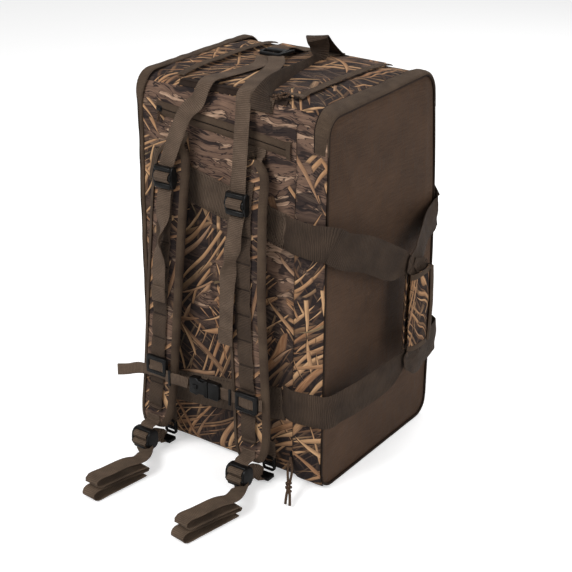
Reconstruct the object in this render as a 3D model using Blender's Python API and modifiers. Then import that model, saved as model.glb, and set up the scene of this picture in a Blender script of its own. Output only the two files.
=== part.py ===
"""A camouflage gear duffel that is also worn as a backpack, standing on one end.

Metres, +Z up. The origin is the middle of the end that rests on the floor. The shoulder harness is
on the -Y face, the zipped lid is the +X face, and the duffel's base panel is the -X face.
"""
import math

import bmesh
import bpy
from mathutils import Matrix, Vector

# driving dimensions
WIDTH = 0.322            # X, base panel to lid
DEPTH = 0.298            # Y, harness face to rear face
HEIGHT = 0.560           # Z, end to end
CORNER = 0.028           # radius of the four long corners
WALL = 0.003             # padded fabric
GAP = 0.0003             # clearance between neighbouring pieces
WEB = 0.0013             # webbing thickness
HAUL_WIDTH = 0.0508      # 2 inch haul webbing
STRAP_WIDTH = 0.0254     # 1 inch harness webbing
STERNUM_WIDTH = 0.020
PAD_WIDTH = 0.058
PAD_THICKNESS = 0.014
ZIP_X = 0.110            # centre line of the main zip on the harness face
FLAP_EDGE = 0.114        # free edge of the storm flap
FLAP_LOW, FLAP_HIGH = 0.024, 0.536
BAND_X = 0.100           # bound bands across the top end

SIDE = WIDTH / 2
FACE = DEPTH / 2
FRONT, REAR = -FACE, FACE
RIGHT_PAD, LEFT_PAD = 0.048, -0.086
X, Y, Z = Vector((1, 0, 0)), Vector((0, 1, 0)), Vector((0, 0, 1))
LONG_WAYS = Matrix(((0, 0, 1, 0), (1, 0, 0, 0), (0, 1, 0, 0), (0, 0, 0, 1)))
FACING_FRONT = Matrix(((1, 0, 0, 0), (0, 0, -1, 0), (0, 1, 0, 0), (0, 0, 0, 1)))

for old in list(bpy.data.objects):
    bpy.data.objects.remove(old, do_unlink=True)


def collection(name):
    made = bpy.data.collections.get(name) or bpy.data.collections.new(name)
    if name not in bpy.context.scene.collection.children:
        bpy.context.scene.collection.children.link(made)
    return made


BAG = collection("gear_duffel_pack")
CUTTERS = collection("cutters")


def material(name, colour, roughness):
    made = bpy.data.materials.new(name)
    made.use_nodes = True
    shader = made.node_tree.nodes["Principled BSDF"]
    shader.inputs["Base Color"].default_value = (*colour, 1)
    shader.inputs["Roughness"].default_value = roughness
    return made


CAMO = material("camo_polyester", (0.17, 0.13, 0.09), 0.85)
BROWN = material("brown_polyester", (0.055, 0.038, 0.027), 0.8)
WEBBING = material("brown_webbing", (0.12, 0.09, 0.06), 0.75)
PLASTIC = material("black_acetal", (0.015, 0.015, 0.016), 0.45)
FOAM = material("grey_foam", (0.25, 0.25, 0.25), 0.95)
CORD = material("brown_cord", (0.07, 0.05, 0.035), 0.8)


def pivot(name, place):
    """An empty on a moving body's joint axis."""
    made = bpy.data.objects.new(name, None)
    made.location = place
    BAG.objects.link(made)
    return made


def finish(obj, finish_material, body=None, smooth=False):
    """Links an object, gives it a material, and hangs it from its body's empty."""
    BAG.objects.link(obj)
    obj.data.materials.append(finish_material)
    if body:
        obj.parent = body
        obj.matrix_parent_inverse = Matrix.Translation(-body.location)
    if smooth and obj.type == "MESH":
        obj.data.shade_smooth()
    return obj


def box_mesh(name, low, high):
    low, high = Vector(low), Vector(high)
    bm = bmesh.new()
    bmesh.ops.create_cube(bm, size=1)
    bmesh.ops.scale(bm, vec=high - low, verts=bm.verts)
    bmesh.ops.translate(bm, vec=(low + high) / 2, verts=bm.verts)
    mesh = bpy.data.meshes.new(name)
    bm.to_mesh(mesh)
    bm.free()
    return mesh


def box(name, low, high, finish_material, body=None, bevel=0.0):
    made = finish(bpy.data.objects.new(name, box_mesh(name, low, high)), finish_material, body)
    if bevel:
        rounded = made.modifiers.new("rounded edges", "BEVEL")
        rounded.width, rounded.segments = bevel, 2
    return made


def combine(obj, low, high, operation):
    """Adds a box to an object, or cuts it away."""
    tool = bpy.data.objects.new(f"{obj.name}_tool", box_mesh("tool", low, high))
    tool.hide_render, tool.display_type = True, "WIRE"
    CUTTERS.objects.link(tool)
    modifier = obj.modifiers.new(operation.lower(), "BOOLEAN")
    modifier.object, modifier.operation = tool, operation
    return obj


def cut(obj, low, high):
    return combine(obj, low, high, "DIFFERENCE")


def add(obj, low, high):
    return combine(obj, low, high, "UNION")


def rounded_rectangle(low, high, radius, steps=3):
    """Corner points of a rectangle whose corners are arcs, counter-clockwise."""
    centres = [(high[0], high[1]), (low[0], high[1]), (low[0], low[1]), (high[0], low[1])]
    inward = [(-1, -1), (1, -1), (1, 1), (-1, 1)]
    points = []
    for quarter, ((cx, cy), (sx, sy)) in enumerate(zip(centres, inward)):
        for step in range(steps + 1):
            angle = math.radians(90 * (quarter + step / steps))
            points.append((cx + radius * (sx + math.cos(angle)), cy + radius * (sy + math.sin(angle))))
    return points


def plate(name, outline, holes, thickness, matrix, finish_material, body=None):
    """A flat outline with holes, given thickness, and turned into place by a matrix."""
    curve = bpy.data.curves.new(name, "CURVE")
    curve.dimensions, curve.fill_mode, curve.extrude = "2D", "BOTH", thickness / 2
    for loop in [outline, *holes]:
        spline = curve.splines.new("POLY")
        spline.points.add(len(loop) - 1)
        for point, (x, y) in zip(spline.points, loop):
            point.co = (x, y, 0, 1)
        spline.use_cyclic_u = True
    made = bpy.data.objects.new(name, curve)
    made.matrix_world = matrix
    return finish(made, finish_material, body)


def as_mesh(obj, finish_material, body=None):
    """A mesh copy of a curve object, with its caps welded, in the curve's place."""
    graph = bpy.context.evaluated_depsgraph_get()
    mesh = bpy.data.meshes.new_from_object(obj.evaluated_get(graph))
    bm = bmesh.new()
    bm.from_mesh(mesh)
    bmesh.ops.remove_doubles(bm, verts=bm.verts, dist=1e-5)
    bm.to_mesh(mesh)
    bm.free()
    name, matrix = obj.name, obj.matrix_world.copy()
    bpy.data.objects.remove(obj)
    mesh.transform(matrix)
    mesh.materials.clear()
    return finish(bpy.data.objects.new(name, mesh), finish_material, body)


def rounded_path(stations, reach, steps=2):
    """Stations are (place, outward, width). Each inner corner becomes a short arc."""
    path = [stations[0]]
    for before, corner, after in zip(stations, stations[1:], stations[2:]):
        ends = []
        for other in (before, after):
            share = min(0.45, reach / (other[0] - corner[0]).length)
            ends.append([c + (o - c) * share for c, o in zip(corner, other)])
        for step in range(steps + 1):
            t = step / steps
            weights = ((1 - t) ** 2, 2 * t * (1 - t), t**2)
            path.append([a * weights[0] + c * weights[1] + b * weights[2]
                         for a, c, b in zip(ends[0], corner, ends[1])])
    return path + [stations[-1]]


def strap(name, places, outward, width, thickness, finish_material, body=None, reach=0.008, steps=2):
    """A flat strap: a strip lofted along a path, its width square to the path and to outward."""
    outwards = outward if isinstance(outward, list) else [outward] * len(places)
    widths = width if isinstance(width, list) else [width] * len(places)
    stations = [(Vector(p), Vector(o), w) for p, o, w in zip(places, outwards, widths)]
    path = rounded_path(stations, reach, steps)
    bm = bmesh.new()
    rows = []
    for i, (place, out, wide) in enumerate(path):
        along = path[min(i + 1, len(path) - 1)][0] - path[max(i - 1, 0)][0]
        across = along.cross(out).normalized() * wide / 2
        rows.append((bm.verts.new(place - across), bm.verts.new(place + across)))
    for (a, b), (d, c) in zip(rows, rows[1:]):
        bm.faces.new((a, b, c, d))
    mesh = bpy.data.meshes.new(name)
    bm.to_mesh(mesh)
    bm.free()
    made = finish(bpy.data.objects.new(name, mesh), finish_material, body)
    thick = made.modifiers.new("thickness", "SOLIDIFY")
    thick.thickness, thick.offset = thickness, 0
    return made


def turned(name, profile, place, finish_material, body=None):
    """A turned piece: (radius, height) pairs run down its outer side, about a vertical axis."""
    mesh = bpy.data.meshes.new(name)
    points = [(r, 0, h) for r, h in profile]
    mesh.from_pydata(points, [(i, i + 1) for i in range(len(points) - 1)], [])
    made = bpy.data.objects.new(name, mesh)
    made.location = place
    finish(made, finish_material, body)
    screw = made.modifiers.new("turned", "SCREW")
    screw.steps = screw.render_steps = 10
    screw.use_merge_vertices, screw.merge_threshold = True, 1e-5
    return made


def tube(name, points, radius, cyclic, finish_material, body=None):
    curve = bpy.data.curves.new(name, "CURVE")
    curve.dimensions, curve.bevel_depth, curve.bevel_resolution = "3D", radius, 1
    curve.use_fill_caps = not cyclic
    spline = curve.splines.new("POLY")
    spline.points.add(len(points) - 1)
    for point, place in zip(spline.points, points):
        point.co = (*place, 1)
    spline.use_cyclic_u = cyclic
    return finish(bpy.data.objects.new(name, curve), finish_material, body)


def end_outline(inset, radius):
    return rounded_rectangle((FRONT + inset, inset), (REAR - inset, HEIGHT - inset), radius, steps=4)


def along_x(low, high):
    """Turns a plate's outline into the Y-Z plane, centred between two X positions."""
    return Matrix.Translation(((low + high) / 2, 0, 0)) @ LONG_WAYS


def at_front(y):
    """Turns a plate's outline into the X-Z plane at a Y position."""
    return Matrix.Translation((0, y, 0)) @ FACING_FRONT


# ---- joint axes -------------------------------------------------------------------------------
HINGE = Vector((SIDE, REAR, HEIGHT / 2))
HAUL_FRONT = Vector((0.0975, FRONT - 0.0035, 0.256))
HAUL_REAR = Vector((0.0975, REAR + 0.0035, 0.256))
GRIP_EDGE = Vector((0.2052, 0.0480, 0.240))
CARRY = Vector((0.054, -0.147, HEIGHT + 0.004))
HARNESS = Vector((-0.019, FRONT - 0.005, 0.482))
TAIL_RIGHT, TAIL_LEFT = Vector((0.057, -0.198, 0.012)), Vector((-0.124, -0.198, 0.012))
UPPER_LOCK_Z = {"right": 0.4055, "left": 0.4195}
LOWER_LOCK_Z = 0.0385
LOCK_Y, LOWER_LOCK_Y = -0.1865, -0.203
STERNUM_Z = 0.132
HOOK_RIGHT, HOOK_LEFT = Vector((0.072, -0.1535, 0.031)), Vector((-0.113, -0.1535, 0.031))
MAIN_SLIDER = Vector((ZIP_X, FRONT + 0.003, 0.045))
CORD_Y = FRONT - 0.0065
HARNESS_ZIP_START, HARNESS_ZIP_END = Vector((-0.124, 0, 0.520)), Vector((0.101, 0, 0.497))
HARNESS_SLIDER = HARNESS_ZIP_START + (HARNESS_ZIP_END - HARNESS_ZIP_START) * 0.03
END_ZIP_Y = FRONT + 0.014
END_SLIDER = Vector((0.080, END_ZIP_Y, HEIGHT + 0.003))

lid = pivot("lid_pivot", HINGE)
haul_front = pivot("haul_front_pivot", HAUL_FRONT)
haul_rear = pivot("haul_rear_pivot", HAUL_REAR)
grip_flap = pivot("grip_flap_pivot", GRIP_EDGE)
carry = pivot("carry_handle_pivot", CARRY)
harness = pivot("harness_pivot", HARNESS)
tails = {"right": pivot("tail_right_pivot", TAIL_RIGHT), "left": pivot("tail_left_pivot", TAIL_LEFT)}
sternum = pivot("sternum_pivot", (-0.015, LOCK_Y, STERNUM_Z))
sternum_latch = pivot("sternum_latch_pivot", (-0.008, LOCK_Y, STERNUM_Z))
hooks = {"right": pivot("hook_right_pivot", HOOK_RIGHT), "left": pivot("hook_left_pivot", HOOK_LEFT)}
main_slider = pivot("main_slider_pivot", MAIN_SLIDER)
main_cord = pivot("main_cord_pivot", (ZIP_X, CORD_Y, 0.043))
harness_slider = pivot("harness_slider_pivot", (HARNESS_SLIDER.x, FRONT, HARNESS_SLIDER.z))
harness_cord = pivot("harness_cord_pivot", (HARNESS_SLIDER.x, CORD_Y, HARNESS_SLIDER.z - 0.004))
end_slider = pivot("end_slider_pivot", END_SLIDER)
end_tab = pivot("end_tab_pivot", END_SLIDER + Vector((0.008, 0, 0.0035)))


# ---- the bag ----------------------------------------------------------------------------------
def build_walls():
    """The four padded walls, one loop about X, with the zip's mouth cut at the harness face."""
    low, high = -SIDE + WALL, SIDE - WALL - 0.0005
    ring = plate("side_walls", end_outline(0, CORNER), [end_outline(WALL, CORNER - WALL)],
                 high - low, along_x(low, high), CAMO)
    ring = as_mesh(ring, CAMO)
    cut(ring, (ZIP_X - 0.004, FRONT - 0.01, 0.030), (SIDE + 0.01, FRONT + 0.014, HEIGHT - 0.030))


def build_base():
    plate("base_panel", end_outline(0, CORNER), [], WALL - GAP,
          along_x(-SIDE, -SIDE + WALL - GAP), BROWN)
    plate("base_stiffener", end_outline(0.016, CORNER - 0.016), [], 0.003,
          along_x(-SIDE + 0.0035, -SIDE + 0.0065), PLASTIC)
    box("back_panel_foam", (-0.130, FRONT + 0.0035, 0.035), (0.085, FRONT + 0.0115, 0.525), FOAM,
        bevel=0.002)


def build_edges():
    box("harness_edge_binding", (-SIDE + 0.0005, FRONT - 0.0022, 0.030),
        (-SIDE + 0.0185, FRONT - GAP, HEIGHT - 0.030), WEBBING)
    for side, x in (("left", -BAND_X), ("right", BAND_X)):
        box(f"top_band_{side}", (x - 0.006, FRONT + 0.030, HEIGHT + GAP),
            (x + 0.006, REAR - 0.030, HEIGHT + 0.0025), WEBBING)


def build_end_pocket():
    """A bulged panel over the top end: a dome-shaped sheet, open underneath."""
    half_x, low_y, high_y, rise = BAND_X - 0.009, FRONT + 0.026, REAR - 0.014, 0.0125
    bm = bmesh.new()
    bmesh.ops.create_grid(bm, x_segments=8, y_segments=8, size=1)
    for vert in bm.verts:
        u, v = vert.co.x, vert.co.y
        swell = (1 - u**4) * (1 - v**4)
        vert.co = (u * half_x, (low_y + high_y) / 2 + v * (high_y - low_y) / 2,
                   HEIGHT + 0.0015 + rise * swell)
    mesh = bpy.data.meshes.new("end_pocket_panel")
    bm.to_mesh(mesh)
    bm.free()
    panel = finish(bpy.data.objects.new("end_pocket_panel", mesh), CAMO, smooth=True)
    thick = panel.modifiers.new("thickness", "SOLIDIFY")
    thick.thickness, thick.offset = 0.0018, 0


def build_haul_bands():
    """2 inch webbing sewn flat across the harness face and the rear face."""
    for face, sign in (("front", 1), ("rear", -1)):
        y = FRONT - GAP - WEB / 2
        for level, left_z, right_z in (("upper", 0.436, 0.382), ("lower", 0.090, 0.124)):
            strap(f"haul_band_{face}_{level}", [(-0.135, sign * y, left_z), (0.096, sign * y, right_z)],
                  Vector((0, -sign, 0)), HAUL_WIDTH, WEB, WEBBING)


def build_lid():
    plate("lid_panel", end_outline(0, CORNER), [], WALL, along_x(SIDE - WALL, SIDE), BROWN, lid)
    box("lid_flap", (FLAP_EDGE, FRONT - WALL, FLAP_LOW), (SIDE, FRONT - GAP, FLAP_HIGH), CAMO, lid)
    box("lid_foam", (SIDE - 0.010, FRONT + 0.024, 0.030), (SIDE - WALL - GAP, REAR - 0.024, 0.530),
        FOAM, lid, bevel=0.002)
    edge = end_outline(0.004, CORNER - 0.004)
    tube("lid_piping", [(SIDE + 0.0022, y, z) for y, z in edge], 0.0018, True, WEBBING, lid)
    box("lid_corner_binding", (FLAP_EDGE + 0.004, FRONT - WALL - 0.0017, 0.507),
        (SIDE, FRONT - WALL - GAP, FLAP_HIGH), WEBBING, lid)


def build_main_zip():
    """Two tapes side by side with the slider's post between them, recessed beside the flap."""
    back, front = FRONT + 0.0045, FRONT + 0.0035
    box("main_zip_tape_bag", (0.090, front, 0.032), (ZIP_X - 0.0012, back, 0.528), CORD)
    box("main_zip_tape_lid", (ZIP_X + 0.0012, front, 0.032), (0.145, back, 0.528), CORD, lid)
    low, high = MAIN_SLIDER.z - 0.005, MAIN_SLIDER.z + 0.005
    slider = box("main_zip_slider", (ZIP_X - 0.0034, FRONT + 0.0004, low),
                 (ZIP_X + 0.0034, FRONT + 0.0024, high), PLASTIC, main_slider)
    add(slider, (ZIP_X - 0.0034, FRONT + 0.0055, low), (ZIP_X + 0.0034, FRONT + 0.0075, high))
    add(slider, (ZIP_X - 0.0008, FRONT + 0.0010, low + 0.003), (ZIP_X + 0.0008, FRONT + 0.0070, high))
    add(slider, (ZIP_X - 0.0012, FRONT - 0.0045, low + 0.001), (ZIP_X + 0.0012, FRONT + 0.0010, high - 0.003))
    cord_pull("main_zip_cord", (ZIP_X, CORD_Y, 0.043), 0.034, main_cord)


def cord_pull(name, place, length, body):
    """A cord that hangs straight and ends in a knot."""
    thin, knot = 0.00125, 0.003
    profile = [(0, 0), (thin, 0), (thin, -length + 3 * knot)]
    for step in range(1, 5):
        angle = math.radians(90 - 36 * step)
        profile.append((max(knot * math.cos(angle), 0.0006), -length + knot * (1 + math.sin(angle))))
    profile.append((0, profile[-1][1]))
    turned(name, profile, place, CORD, body)


def build_pocket_zips():
    y = FRONT - GAP - WEB / 2
    strap("harness_pocket_zip_tape", [p + Vector((0, y, 0)) for p in (HARNESS_ZIP_START, HARNESS_ZIP_END)],
          -Y, 0.013, WEB, CORD)
    spot = Vector((HARNESS_SLIDER.x, FRONT, HARNESS_SLIDER.z))
    box("harness_pocket_slider", spot + Vector((-0.005, -0.0045, -0.004)),
        spot + Vector((0.005, -0.0020, 0.004)), PLASTIC, harness_slider, bevel=0.0006)
    cord_pull("harness_pocket_cord", (spot.x, CORD_Y - 0.0005, spot.z - 0.004), 0.016, harness_cord)
    box("end_pocket_zip_tape", (-BAND_X + 0.009, END_ZIP_Y - 0.0065, HEIGHT + GAP),
        (BAND_X - 0.009, END_ZIP_Y + 0.0065, HEIGHT + 0.0015), CORD)
    box("end_pocket_slider", END_SLIDER + Vector((-0.005, -0.004, -0.0010)),
        END_SLIDER + Vector((0.005, 0.004, 0.0014)), PLASTIC, end_slider, bevel=0.0006)
    tab = rounded_rectangle((0.0865, END_ZIP_Y - 0.003), (0.1095, END_ZIP_Y + 0.003), 0.002)
    plate("end_pocket_pull", tab, [], 0.0012,
          Matrix.Translation((0, 0, END_SLIDER.z + 0.0033)), PLASTIC, end_tab)


# ---- haul handles -----------------------------------------------------------------------------
def haul_loop(name, sign, standoff, body):
    """A webbing loop that leaves its face, rounds the lid's edge, and turns down into the grip."""
    face, corner, out = Vector((0, -sign, 0)), Vector((0.7, -0.7 * sign, 0)), X
    y, bend = sign * FRONT, sign * -1
    upper = [
        ((0.0985, y + bend * 0.0045, 0.383), face, 0.0508),
        ((0.1060, y + bend * 0.0118, 0.383), face, 0.0508),
        ((0.1480, y + bend * 0.0122, 0.381), face, 0.0508),
        ((0.1720, y + bend * 0.0020, 0.376), corner, 0.0508),
        ((0.1860, y - bend * 0.055, 0.364), out, 0.0508),
        ((standoff, y - bend * 0.115, 0.343), out, 0.046),
    ]
    grip = [
        ((standoff, 0.022 - 0.014 * sign, 0.312), out, 0.040),
        ((standoff, 0.022, 0.275), out, 0.036),
        ((standoff, 0.022, 0.205), out, 0.036),
        ((standoff, 0.022 - 0.014 * sign, 0.172), out, 0.040),
    ]
    lower = [
        ((standoff, y - bend * 0.110, 0.152), out, 0.046),
        ((0.1860, y - bend * 0.055, 0.146), out, 0.0508),
        ((0.1720, y + bend * 0.0020, 0.142), corner, 0.0508),
        ((0.1480, y + bend * 0.0122, 0.139), face, 0.0508),
        ((0.1060, y + bend * 0.0118, 0.131), face, 0.0508),
        ((0.0985, y + bend * 0.0045, 0.129), face, 0.0508),
    ]
    places, outwards, widths = zip(*(upper + grip + lower))
    strap(name, list(places), list(outwards), list(widths), WEB, WEBBING, body)


def build_haul_handles():
    haul_loop("haul_loop_front", 1, 0.2010, haul_front)
    haul_loop("haul_loop_rear", -1, 0.2060, haul_rear)
    box("grip_wrap", (0.1955, -0.001, 0.182), (0.1985, 0.0455, 0.298), CAMO, haul_front, bevel=0.001)
    box("grip_wrap_flap", (0.2085, -0.001, 0.182), (0.2115, 0.0455, 0.298), CAMO, grip_flap, bevel=0.001)


def build_carry_handle():
    """A 2 inch webbing loop across the top end, standing up between two sewn feet."""
    foot, far = Vector((0.054, -0.147, HEIGHT + 0.004)), Vector((0.0, 0.120, HEIGHT + 0.013))
    rise = [(0.0, 0.0), (0.03, 0.010), (0.12, 0.018), (0.35, 0.027), (0.62, 0.037), (0.85, 0.042), (1.0, 0.003)]
    places = [foot.lerp(far, t) + Z * h for t, h in rise]
    outwards = [-Y, -Y + Z, Z, Z, Z, Y + Z, Y]
    strap("carry_handle", places, outwards, [0.046, 0.046, 0.044, 0.036, 0.036, 0.042, 0.044], WEB,
          WEBBING, carry, reach=0.02)


# ---- harness ----------------------------------------------------------------------------------
PAD_STATIONS = (
    # height, distance from the harness face to the pad's middle, share of the full width
    (0.478, 0.012, 0.30), (0.470, 0.014, 0.68), (0.452, 0.018, 0.93), (0.415, 0.025, 1.0),
    (0.280, 0.027, 1.0), (0.130, 0.027, 1.0), (0.075, 0.025, 0.96), (0.055, 0.024, 0.80), (0.046, 0.023, 0.50),
)


def pad_x(side, z):
    """Where a pad's centre line is at a height: both pads lean outwards towards the bottom."""
    if side == "right":
        return RIGHT_PAD + 0.008 * max(0.0, (0.28 - z) / 0.15) ** 1.0 if z < 0.28 else RIGHT_PAD
    return LEFT_PAD - 0.037 * (0.42 - min(z, 0.42)) / 0.36


def pad_path(side, forward, low=0.0, high=1.0):
    return [(pad_x(side, z), FRONT - off - forward, z) for z, off, _ in PAD_STATIONS if low <= z <= high]


def build_pads():
    for side in ("right", "left"):
        widths = [PAD_WIDTH * share for _, _, share in PAD_STATIONS]
        strap(f"pad_{side}", pad_path(side, 0), -Y, widths, PAD_THICKNESS, CAMO, harness, reach=0.006, steps=1)
        web = pad_path(side, PAD_THICKNESS / 2 + 0.0013, 0.06, 0.46)
        strap(f"daisy_web_{side}", web, -Y, STRAP_WIDTH, WEB, WEBBING, harness, reach=0.006, steps=1)
        x = pad_x(side, 0.478)
        y = FRONT - 0.0022 - WEB / 2
        strap(f"pad_hanger_{side}", [(x, y, 0.4895), (x, y, 0.4795)], -Y, 0.030, WEB, WEBBING)


def ladder_lock(name, x, y, z, height, body, up):
    """A flat frame with two slots. The web enters over the end bar and leaves through the slots."""
    half = 0.0165
    low, high = (z, z + height) if up else (z - height, z)
    outline = rounded_rectangle((x - half, low), (x + half, high), 0.004, steps=2)
    slot = (height - 0.010) / 2
    holes = [rounded_rectangle((x - 0.0135, low + 0.003), (x + 0.0135, low + 0.003 + slot), 0.0015, steps=1),
             rounded_rectangle((x - 0.0135, high - 0.003 - slot), (x + 0.0135, high - 0.003), 0.0015, steps=1)]
    plate(name, outline, [h[::-1] for h in holes], 0.0040, at_front(y), PLASTIC, body)


def upper_lock_x(side):
    return pad_x(side, 0.42) - (0.007 if side == "right" else -0.003)


def build_locks():
    for side in ("right", "left"):
        upper_x, upper_z = upper_lock_x(side), UPPER_LOCK_Z[side]
        upper = pivot(f"upper_lock_{side}_pivot", (upper_x, LOCK_Y, upper_z))
        ladder_lock(f"upper_ladder_lock_{side}", upper_x, LOCK_Y, upper_z, 0.032, upper, True)
        lower_x = pad_x(side, 0.04)
        lower = pivot(f"lower_lock_{side}_pivot", (lower_x, LOWER_LOCK_Y, LOWER_LOCK_Z))
        ladder_lock(f"lower_ladder_lock_{side}", lower_x, LOWER_LOCK_Y, LOWER_LOCK_Z, 0.030, lower, False)


def build_lifter_webs():
    """From the ladder-lock up over the top edge to the buckle, with a free tail hanging in front."""
    for side, edge_x, end_x, tail in (("right", 0.016, -0.024, 0.215), ("left", -0.042, -0.050, 0.250)):
        x = upper_lock_x(side)
        slot_z = UPPER_LOCK_Z[side] + 0.0235
        places = [
            (x + 0.002, LOCK_Y - 0.0066, tail), (x, LOCK_Y - 0.0050, slot_z - 0.020),
            (x, LOCK_Y - 0.0042, slot_z - 0.003), (x, LOCK_Y + 0.0030, slot_z + 0.0020),
            (x, LOCK_Y + 0.0046, slot_z + 0.012), (edge_x, FRONT - 0.0035, HEIGHT + 0.0075),
            (edge_x, FRONT + 0.034, HEIGHT + 0.0180), (end_x, 0.010, HEIGHT + 0.0200),
        ]
        outwards = [-Y, -Y, -Y + Z, -Y + Z, -Y, -Y + Z, Z, Z]
        strap(f"lifter_web_{side}", places, outwards, STRAP_WIDTH * 0.94, WEB, WEBBING, reach=0.003, steps=1)
    outline = rounded_rectangle((-0.056, 0.013), (-0.018, 0.055), 0.005)
    slots = [rounded_rectangle((-0.052, y), (-0.022, y + 0.008), 0.002)[::-1] for y in (0.019, 0.040)]
    plate("lifter_buckle", outline, slots, 0.0040, Matrix.Translation((0, 0, HEIGHT + 0.0200)), PLASTIC)


def build_lower_webs():
    for side in ("right", "left"):
        x = pad_x(side, 0.04)
        place = HOOK_RIGHT if side == "right" else HOOK_LEFT
        strap(f"lower_web_{side}",
              [(x, LOWER_LOCK_Y + 0.0035, 0.0300), (x, LOWER_LOCK_Y + 0.0075, 0.0230),
               ((x + place.x) / 2, -0.176, 0.0155),
               (place.x, place.y - 0.0065, 0.0145)],
              -Y, [0.024, 0.024, 0.022, 0.020], WEB, WEBBING, harness, reach=0.003, steps=1)
        strap(f"bottom_loop_{side}", [(place.x, FRONT - 0.0014, 0.052), (place.x, FRONT - 0.0014, 0.036)],
              -Y, 0.022, WEB, WEBBING)
        x_low, x_high = place.x - 0.011, place.x + 0.011
        outline = rounded_rectangle((x_low, 0.010), (x_high, 0.0335), 0.004, steps=2)
        holes = [rounded_rectangle((x_low + 0.003, 0.013), (x_high - 0.003, 0.018), 0.0015, steps=1)[::-1],
                 rounded_rectangle((x_low + 0.004, 0.022), (x_high - 0.004, 0.0305), 0.003, steps=1)[::-1]]
        plate(f"lower_hook_{side}", outline, holes, 0.0040, at_front(place.y - 0.0005), PLASTIC, hooks[side])


def build_tails():
    """Each long adjuster tail runs to the floor and lies there folded in four layers."""
    ends = {"right": ((0.058, -0.206), (0.090, -0.240), (0.058, -0.352)),
            "left": ((-0.122, -0.206), (-0.093, -0.246), (-0.100, -0.356))}
    for side, (start, near, far) in ends.items():
        near, far = Vector((*near, 0)), Vector((*far, 0))
        x = pad_x(side, 0.04)
        places = [Vector((x, LOWER_LOCK_Y - 0.0035, 0.030)), Vector((x, LOWER_LOCK_Y - 0.0045, 0.016)),
                  Vector((*start, 0.0145)) - Y * 0.010]
        for layer, z in enumerate((0.0140, 0.0100, 0.0060, 0.0020)):
            first, last = (near, far) if layer % 2 == 0 else (far, near)
            places += [first + Z * z, last + Z * z]
        outwards = [-Y, -Y + Z] + [Z] * (len(places) - 2)
        # every second layer faces down, so that the strip keeps its width the same way round
        for i in range(5, len(outwards), 4):
            outwards[i] = -Z
            outwards[min(i + 1, len(outwards) - 1)] = -Z
        strap(f"tail_{side}", places, outwards, STRAP_WIDTH, WEB, WEBBING, tails[side], reach=0.0018, steps=1)


def build_sternum():
    """Sliders on both pads, a web from each, and a side-release buckle between them."""
    front = FRONT - 0.027 - PAD_THICKNESS / 2 - 0.0031
    for side in ("right", "left"):
        x = pad_x(side, STERNUM_Z) + (0.004 if side == "right" else 0.0)
        outline = rounded_rectangle((x - 0.023, STERNUM_Z - 0.008), (x + 0.023, STERNUM_Z + 0.008), 0.003, steps=2)
        slot = rounded_rectangle((x - 0.018, STERNUM_Z - 0.0025), (x + 0.018, STERNUM_Z + 0.0025), 0.001, steps=1)
        plate(f"sternum_slider_{side}", outline, [slot[::-1]], 0.0030, at_front(front - 0.0015), PLASTIC, sternum)
    y = front - 0.0035 - WEB / 2
    edge = pad_x("right", STERNUM_Z) + 0.024
    strap("sternum_web_right", [(0.0125, y, STERNUM_Z), (edge, y, STERNUM_Z)], -Y, STERNUM_WIDTH, WEB,
          WEBBING, sternum)
    left = pad_x("left", STERNUM_Z)
    strap("sternum_web_left", [(-0.0415, y, STERNUM_Z), (left - 0.026, y, STERNUM_Z),
                               (left - 0.062, y - 0.012, STERNUM_Z - 0.016)], -Y, STERNUM_WIDTH, WEB,
          WEBBING, sternum)
    low, high = STERNUM_Z - 0.0125, STERNUM_Z + 0.0125
    female = box("sternum_buckle_female", (-0.041, y - 0.004, low), (-0.008, y + 0.004, high), PLASTIC,
                 sternum_latch)
    cut(female, (-0.031, y - 0.0022, low + 0.0030), (0.0, y + 0.0022, high - 0.0030))
    male = box("sternum_buckle_male", (-0.0075, y - 0.004, low + 0.001), (0.012, y + 0.004, high - 0.001),
               PLASTIC, sternum)
    add(male, (-0.0295, y - 0.0018, low + 0.0036), (-0.005, y + 0.0018, high - 0.0036))


build_walls()
build_base()
build_edges()
build_end_pocket()
build_haul_bands()
build_lid()
build_main_zip()
build_pocket_zips()
build_haul_handles()
build_carry_handle()
build_pads()
build_locks()
build_lifter_webs()
build_lower_webs()
build_tails()
build_sternum()
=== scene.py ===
"""The looks of the camouflage duffel pack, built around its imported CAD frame.

Metres, in the frame's own axes: +Z up, the harness on -Y, the zipped lid on +X.
"""
import math
from contextlib import contextmanager

import bmesh
import bpy
from mathutils import Matrix, Vector, noise


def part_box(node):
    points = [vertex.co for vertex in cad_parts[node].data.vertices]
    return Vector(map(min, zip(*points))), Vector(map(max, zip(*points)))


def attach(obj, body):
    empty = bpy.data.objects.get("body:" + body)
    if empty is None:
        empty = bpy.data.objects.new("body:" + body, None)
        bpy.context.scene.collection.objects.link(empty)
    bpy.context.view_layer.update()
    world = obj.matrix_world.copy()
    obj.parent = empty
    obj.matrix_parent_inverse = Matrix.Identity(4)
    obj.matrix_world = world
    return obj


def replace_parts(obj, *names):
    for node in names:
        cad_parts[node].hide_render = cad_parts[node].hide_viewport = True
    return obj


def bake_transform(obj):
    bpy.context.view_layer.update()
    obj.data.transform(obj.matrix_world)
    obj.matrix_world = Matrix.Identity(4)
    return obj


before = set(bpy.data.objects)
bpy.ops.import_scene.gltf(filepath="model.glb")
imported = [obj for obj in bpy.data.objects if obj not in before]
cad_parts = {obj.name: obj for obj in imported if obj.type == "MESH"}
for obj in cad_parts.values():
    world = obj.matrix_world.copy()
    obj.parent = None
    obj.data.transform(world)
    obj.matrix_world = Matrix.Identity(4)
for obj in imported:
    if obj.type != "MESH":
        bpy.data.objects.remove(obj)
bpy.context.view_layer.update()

X, Y, Z = Vector((1, 0, 0)), Vector((0, 1, 0)), Vector((0, 0, 1))
COORDS = "cloth"            # mesh attribute: where a point lies on its flat piece of cloth, in metres

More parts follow.
